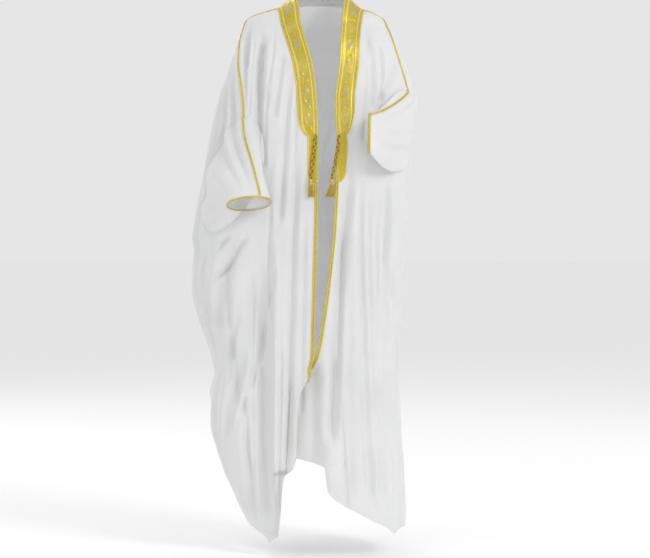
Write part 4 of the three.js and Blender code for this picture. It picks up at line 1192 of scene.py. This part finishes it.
def neck_band():
    """Round the back of the neck: the neckline's columns, with a fan at each shoulder."""
    first = SEAMS["right"] + 1 + SHOULDER_COLUMNS + SEAM_COLUMNS
    last = SEAMS["left"] - SHOULDER_COLUMNS - SEAM_COLUMNS
    deep = SHOULDER_ROWS * 31 / 90
    reach = np.linspace(0.01, 1, BAND_CELLS + 1)
    turns = np.radians(np.linspace(0, 90, 30, endpoint=False))
    aside = np.outer(np.cos(turns), reach) * SEAM_COLUMNS
    down = np.outer(np.sin(turns), reach) * deep
    middle = np.arange(first, last + 0.1, BAND_STEP)
    i = np.concatenate([first - aside, middle[:, None] * np.ones(len(reach)), (last + aside)[::-1]])
    j = np.concatenate([down, np.ones((len(middle), 1)) * reach * deep, down[::-1]])
    spots, normals = on_cloth(i, j)
    v = np.broadcast_to(lengths_down(spots[:, 20])[:, None], i.shape)
    u = np.broadcast_to(reach * BAND, i.shape)
    band_grid("neck_band_brocade", spots, normals, u, v, np.full((len(i), 1), float(BAND)), "neck_band")


for _side in SEAMS:
    front_band(_side)
neck_band()


# ---------------------------------------------------------------- braid along the edges and seams
def resampled(values, lengths, step):
    """Rows of values at even distances along a line."""
    count = max(2, int(round(lengths[-1] / step)) + 1)
    at = np.linspace(0, lengths[-1], count)
    return np.stack([np.interp(at, lengths, values[:, k]) for k in range(values.shape[1])], 1)


def heading(spots, closed=False):
    """The direction along a line at each of its points."""
    ahead = np.roll(spots, -1, axis=0) - np.roll(spots, 1, axis=0)
    if not closed:
        ahead[0], ahead[-1] = spots[1] - spots[0], spots[-1] - spots[-2]
    return unit(ahead)


def swept_faces(count, sides, closed=False):
    """Faces of a profile of some sides swept through count places, with its two ends unless it closes."""
    ends = [list(range(sides))[::-1], [(count - 1) * sides + s for s in range(sides)]]
    return grid_faces(count, sides, closed, loop_columns=True) + ([] if closed else ends)


def tube(spots, normals, radius, sides=8, ply=0, pitch=6.0, closed=False):
    """Points, faces and uvs of a cord along a line; ply twists that many strands together."""
    lengths = lengths_down(spots)
    ahead = heading(spots, closed)
    side = unit(np.cross(ahead, normals))
    up = np.cross(side, ahead)
    angle = np.linspace(0, 2 * math.pi, sides, endpoint=False)
    wave = np.cos(ply * angle[None, :] - 2 * math.pi * lengths[:, None] / pitch) if ply else 0
    reach = radius * (1 + 0.2 * wave) * np.ones((len(spots), sides))
    ring = spots[:, None] + side[:, None] * (reach * np.cos(angle))[..., None]
    ring = ring + up[:, None] * (reach * np.sin(angle))[..., None]
    uvs = np.stack(np.broadcast_arrays(angle[None, :] * radius, lengths[:, None]), -1)
    return ring.reshape(-1, 3), swept_faces(len(spots), sides, closed), uvs.reshape(-1, 2)


def join(parts):
    """Several lists of points, faces and uvs as one."""
    spots, faces, uvs, count = [], [], [], 0
    for part_spots, part_faces, part_uvs in parts:
        spots.append(part_spots)
        uvs.append(part_uvs)
        faces += [[vertex + count for vertex in face] for face in part_faces]
        count += len(part_spots)
    return np.concatenate(spots), faces, np.concatenate(uvs)


CORD_RADIUS = 1.7  # of the cords beside a braid, at most
CORD_PITCH = 7.0
BRAID_STEP = 1.6
EDGE_BRAID = PIPING - 1  # widths
ARM_BRAID = 6.0
CUFF_BRAID = 6.2


def ribbon(spots, normals, half, closed=False):
    """A flat strip a little above a line on the cloth."""
    side = unit(np.cross(heading(spots, closed), normals))
    profile = [(-half, 0.3), (-half, 1.1), (half, 1.1), (half, 0.3)]
    ring = np.stack([spots + side * across + normals * up for across, up in profile], 1)
    lengths = lengths_down(spots)
    uvs = np.stack(np.broadcast_arrays(np.arange(4)[None, :] * half, lengths[:, None]), -1)
    return ring.reshape(-1, 3), swept_faces(len(spots), 4, closed), uvs.reshape(-1, 2)


def braid(name, spots, normals, width, node, closed=False):
    """A flat gold ribbon with a twisted cord along each side, laid on the cloth."""
    both = np.concatenate([spots, normals], 1)
    if closed:
        both = np.concatenate([both, both[:1]])
    both = resampled(both, lengths_down(both[:, :3]), BRAID_STEP)
    if closed:
        both = both[:-1]
    spots, normals = both[:, :3], unit(both[:, 3:])
    side = unit(np.cross(heading(spots, closed), normals))
    radius = min(CORD_RADIUS, width / 4)
    parts = [ribbon(spots, normals, width / 2 - radius / 2, closed)]
    for sign in (-1, 1):
        middle = spots + sign * side * (width / 2 - radius) + normals * (radius * 0.8)
        parts.append(tube(middle, normals, radius, ply=2, pitch=CORD_PITCH, closed=closed))
    spots, faces, uvs = join(parts)
    pieces[node] = make_object(name, spots, faces, BRAID, uvs)


def edge_braid(side):
    rows = np.arange(row_of(STRIP_END) + 0.3, row_of(PIPING_END), 1.0)
    i = edge_column(side, np.full(len(rows), PIPING / 2))
    braid(f"edge_braid_{side}", *on_cloth(i, rows), EDGE_BRAID, "edge_piping_" + side)


SHOULDER_END, SHOULDER_FACING = {}, {}  # the last point and normal of each shoulder's braid


def shoulder_braid(side):
    """Along the shoulder seam from the band, then down the side line to the armhole."""
    seam = FRONT_SEAM[side]
    inward = SIGN[side]
    band_edge = EDGE[side] - inward * BAND_COLUMNS
    middle_row = SHOULDER_ROWS * 2.0 / 90
    along = np.arange(band_edge + 0.2 * -inward, seam + inward * 1.2, -inward * 1.0)
    first = np.stack([along, np.full(len(along), middle_row)], 1)
    rim_top = min(j for i, j in RIMS[side] if i == seam)
    down = np.arange(middle_row + 1.2, rim_top - 0.1, 0.8)
    second = np.stack([np.full(len(down), seam + inward * 1.0), down], 1)
    spots, normals = on_cloth(*np.concatenate([first, second]).T)
    braid(f"shoulder_braid_{side}", spots, normals, ARM_BRAID, "shoulder_piping_" + side)
    SHOULDER_END[side], SHOULDER_FACING[side] = spots[-1:], normals[-1:]


def seam_line(side):
    """The index of the sleeve's line that goes on from the side seam at the armhole's top."""
    at_seam = [k for k, root in enumerate(SLEEVE_ROOTS[side]) if root // ROW_COUNT == FRONT_SEAM[side]]
    return max(at_seam, key=lambda k: SLEEVE_LINES[side][k, 0, 2])


def sleeve_braids(side):
    lines, normals = SLEEVE_LINES[side], SLEEVE_NORMALS[side]
    k = seam_line(side)
    forward = k - 1 if side == "right" else (k + 1) % len(lines)
    spots = (lines[k] + lines[forward]) / 2
    facing = unit(normals[k] + normals[forward])
    spots = np.concatenate([SHOULDER_END[side], spots[2:-3]])
    facing = np.concatenate([SHOULDER_FACING[side], facing[2:-3]])
    braid(f"sleeve_braid_{side}", spots, facing, ARM_BRAID, "sleeve_piping_" + side)
    braid(f"cuff_braid_{side}", lines[:, -2], normals[:, -2], CUFF_BRAID, "cuff_piping_" + side, closed=True)


for _side in SEAMS:
    edge_braid(_side)
    shoulder_braid(_side)
    sleeve_braids(_side)


# ---------------------------------------------------------------- lacing and tassels
def lacing_line(side, z):
    """The middle of the lacing at heights z, beside the narrow strip's edge."""
    column, normal = POINTS[EDGE[side]], NORMAL_GRID[EDGE[side]]
    across = POINTS[EDGE[side] - SIGN[side]]
    order = np.argsort(column[:, 2])
    at = lambda values: np.stack([np.interp(z, column[order, 2], values[order, k]) for k in range(3)], 1)
    flat = np.array([1, 1, 0])
    t = np.clip((z - LACING["top"]) / (LACING["end"] - LACING["top"]), 0, 1)[:, None]
    spot = at(column) + unit(at(across - column) * flat) * lerp(*LACING_INSET[side], t)
    return spot + unit(at(normal) * flat) * LACING_OUT[side]


def lacing(side):
    """Three strands plaited round one line."""
    z = np.linspace(LACING["top"], LACING["end"], 160)
    line = lacing_line(side, z)
    normals = np.tile([0.0, -1.0, 0.0], (len(z), 1))
    lengths = lengths_down(line)
    parts, brown = [], []
    for strand in range(3):
        phase = 2 * math.pi * (lengths / LACING["pitch"] + strand / 3)
        aside, out = LACING["swing"] * np.sin(phase), -LACING["depth"] * np.sin(2 * phase)
        middle = line + np.stack([aside, out, 0 * phase], 1)
        parts.append(tube(middle, normals, LACING["strand"], ply=3, pitch=4.0))
        brown.append(np.full(len(parts[-1][0]), float(strand == 0)))
    spots, faces, uvs = join(parts)
    made = make_object(f"lacing_{side}_plait", spots, faces, CORD, uvs)
    mark(made, "second", np.concatenate(brown))
    pieces["lacing_" + side] = made


def tassel_head():
    """A wrapped knob that hangs from the origin, as points, faces and uvs."""
    t = np.linspace(0, 1, 26)
    wraps = 1 + 0.06 * np.cos(t * 2 * math.pi * 9)
    profile = TASSEL["head"] * np.interp(t, *HEAD_PROFILE) * wraps
    angle = np.linspace(0, 2 * math.pi, HEAD_SIDES, endpoint=False)
    reach = profile[:, None] * (1 + 0.03 * np.cos(HEAD_SIDES / 2 * angle))
    down = np.broadcast_to((-TASSEL["height"] * t)[:, None], reach.shape)
    ring = np.stack([reach * np.cos(angle), reach * np.sin(angle), down], -1)
    faces = turned_over(swept_faces(len(t), HEAD_SIDES))
    uvs = np.stack(np.broadcast_arrays(angle[None, :] * TASSEL["head"], down), -1)
    return ring.reshape(-1, 3), faces, uvs.reshape(-1, 2)


def tassel(side):
    """The head with a skirt of threads that hangs and splays a little."""
    random = np.random.default_rng(TASSEL_SEED[side])
    head = TASSEL["head"]
    parts = [tassel_head()]
    drop = np.linspace(0, 1, 9)
    for _ in range(TASSEL["strands"]):
        turn = random.uniform(0, 2 * math.pi)
        start = head * 0.85 * math.sqrt(random.uniform(0.03, 1))
        splay = 1 + (TASSEL_SPLAY[side] + 0.5 * random.uniform()) * drop**1.3
        long = TASSEL["length"] * random.uniform(0.88, 1.0)
        wobble = 0.5 * np.sin(drop * 5 + random.uniform(0, 6))
        x = start * splay * math.cos(turn) + wobble + TASSEL_LEAN[side] * 9 * drop**1.4
        y = start * splay * math.sin(turn) * 0.8
        thread = np.stack([x, y, -TASSEL["height"] + 1.5 - long * drop], 1)
        normals = np.tile([math.cos(turn), math.sin(turn), 0.0], (len(drop), 1))
        parts.append(tube(thread, normals, TASSEL["thread"], sides=4))
    spots, faces, uvs = join(parts)
    top = lacing_line(side, np.array([LACING["end"]]))[0] + np.array([0, -head * 0.4, -0.3])
    pieces["tassel_" + side] = make_object(f"tassel_{side}_threads", spots + top, faces, THREAD, uvs)


for _side in SEAMS:
    lacing(_side)
for _side in SEAMS:
    tassel(_side)


# ---------------------------------------------------------------- each piece hangs from the root and hides the part it stands for
for _node, _piece in pieces.items():
    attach(_piece, "root")
    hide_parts(_node)


# ---------------------------------------------------------------- stage, light and camera
# Metres from here on.
FLOOR_Z = -1.53
FLOOR_REACH = 40.0


def plain_material(name, colour):
    material, shader, _ = principled(name)
    fill(shader, Base_Color=(*colour, 1), Roughness=0.9)
    return material


def stage():
    """A large pale floor."""
    corners = [(x * FLOOR_REACH, y * FLOOR_REACH, FLOOR_Z) for x, y in ((-1, -1), (1, -1), (1, 1), (-1, 1))]
    pale = plain_material("floor_pale", (0.98, 0.98, 0.98))
    make_object("floor", np.array(corners) / MM, [[0, 1, 2, 3]], pale)


def area_light(name, place, target, size, watts):
    lamp = bpy.data.lights.new(name, "AREA")
    lamp.shape = "SQUARE"
    lamp.size = size
    lamp.energy = watts
    made = bpy.data.objects.new(name, lamp)
    made.location = place
    made.rotation_euler = (Vector(target) - Vector(place)).to_track_quat("-Z", "Y").to_euler()
    bpy.context.scene.collection.objects.link(made)


def light():
    world = bpy.data.worlds.new("studio")
    world.use_nodes = True
    fill(world.node_tree.nodes["Background"], Color=(1, 1, 1, 1), Strength=0.79)
    bpy.context.scene.world = world
    area_light("key", (3.4, -3.4, 2.0), (0, 0, -0.7), 1.5, 82)
    area_light("fill", (-3.6, -2.4, 1.4), (0, 0, -0.8), 1.8, 16)
    area_light("back", (-2.8, 3.6, 2.2), (0, 0, -0.7), 1.8, 42)
    area_light("back_fill", (3.4, 3.0, 1.0), (0, 0, -0.8), 2.0, 12)
    bpy.context.scene.view_settings.view_transform = "Standard"


CAMERA_DISTANCE = 6.0
FRAME_WIDTH = 1.7875  # of the garment's plane across the picture
GARMENT_Y = -0.10
CAMERA_X, CAMERA_Z, AIM_Z = 0.014, -0.60, -0.767


def camera():
    lens = bpy.data.cameras.new("camera")
    lens.sensor_width = 36
    lens.lens = 36 * CAMERA_DISTANCE / FRAME_WIDTH
    made = bpy.data.objects.new("camera", lens)
    made.location = (CAMERA_X, GARMENT_Y - CAMERA_DISTANCE, CAMERA_Z)
    aim = Vector((CAMERA_X, GARMENT_Y, AIM_Z)) - made.location
    made.rotation_euler = aim.to_track_quat("-Z", "Y").to_euler()
    bpy.context.scene.collection.objects.link(made)
    bpy.context.scene.camera = made


stage()
light()
camera()
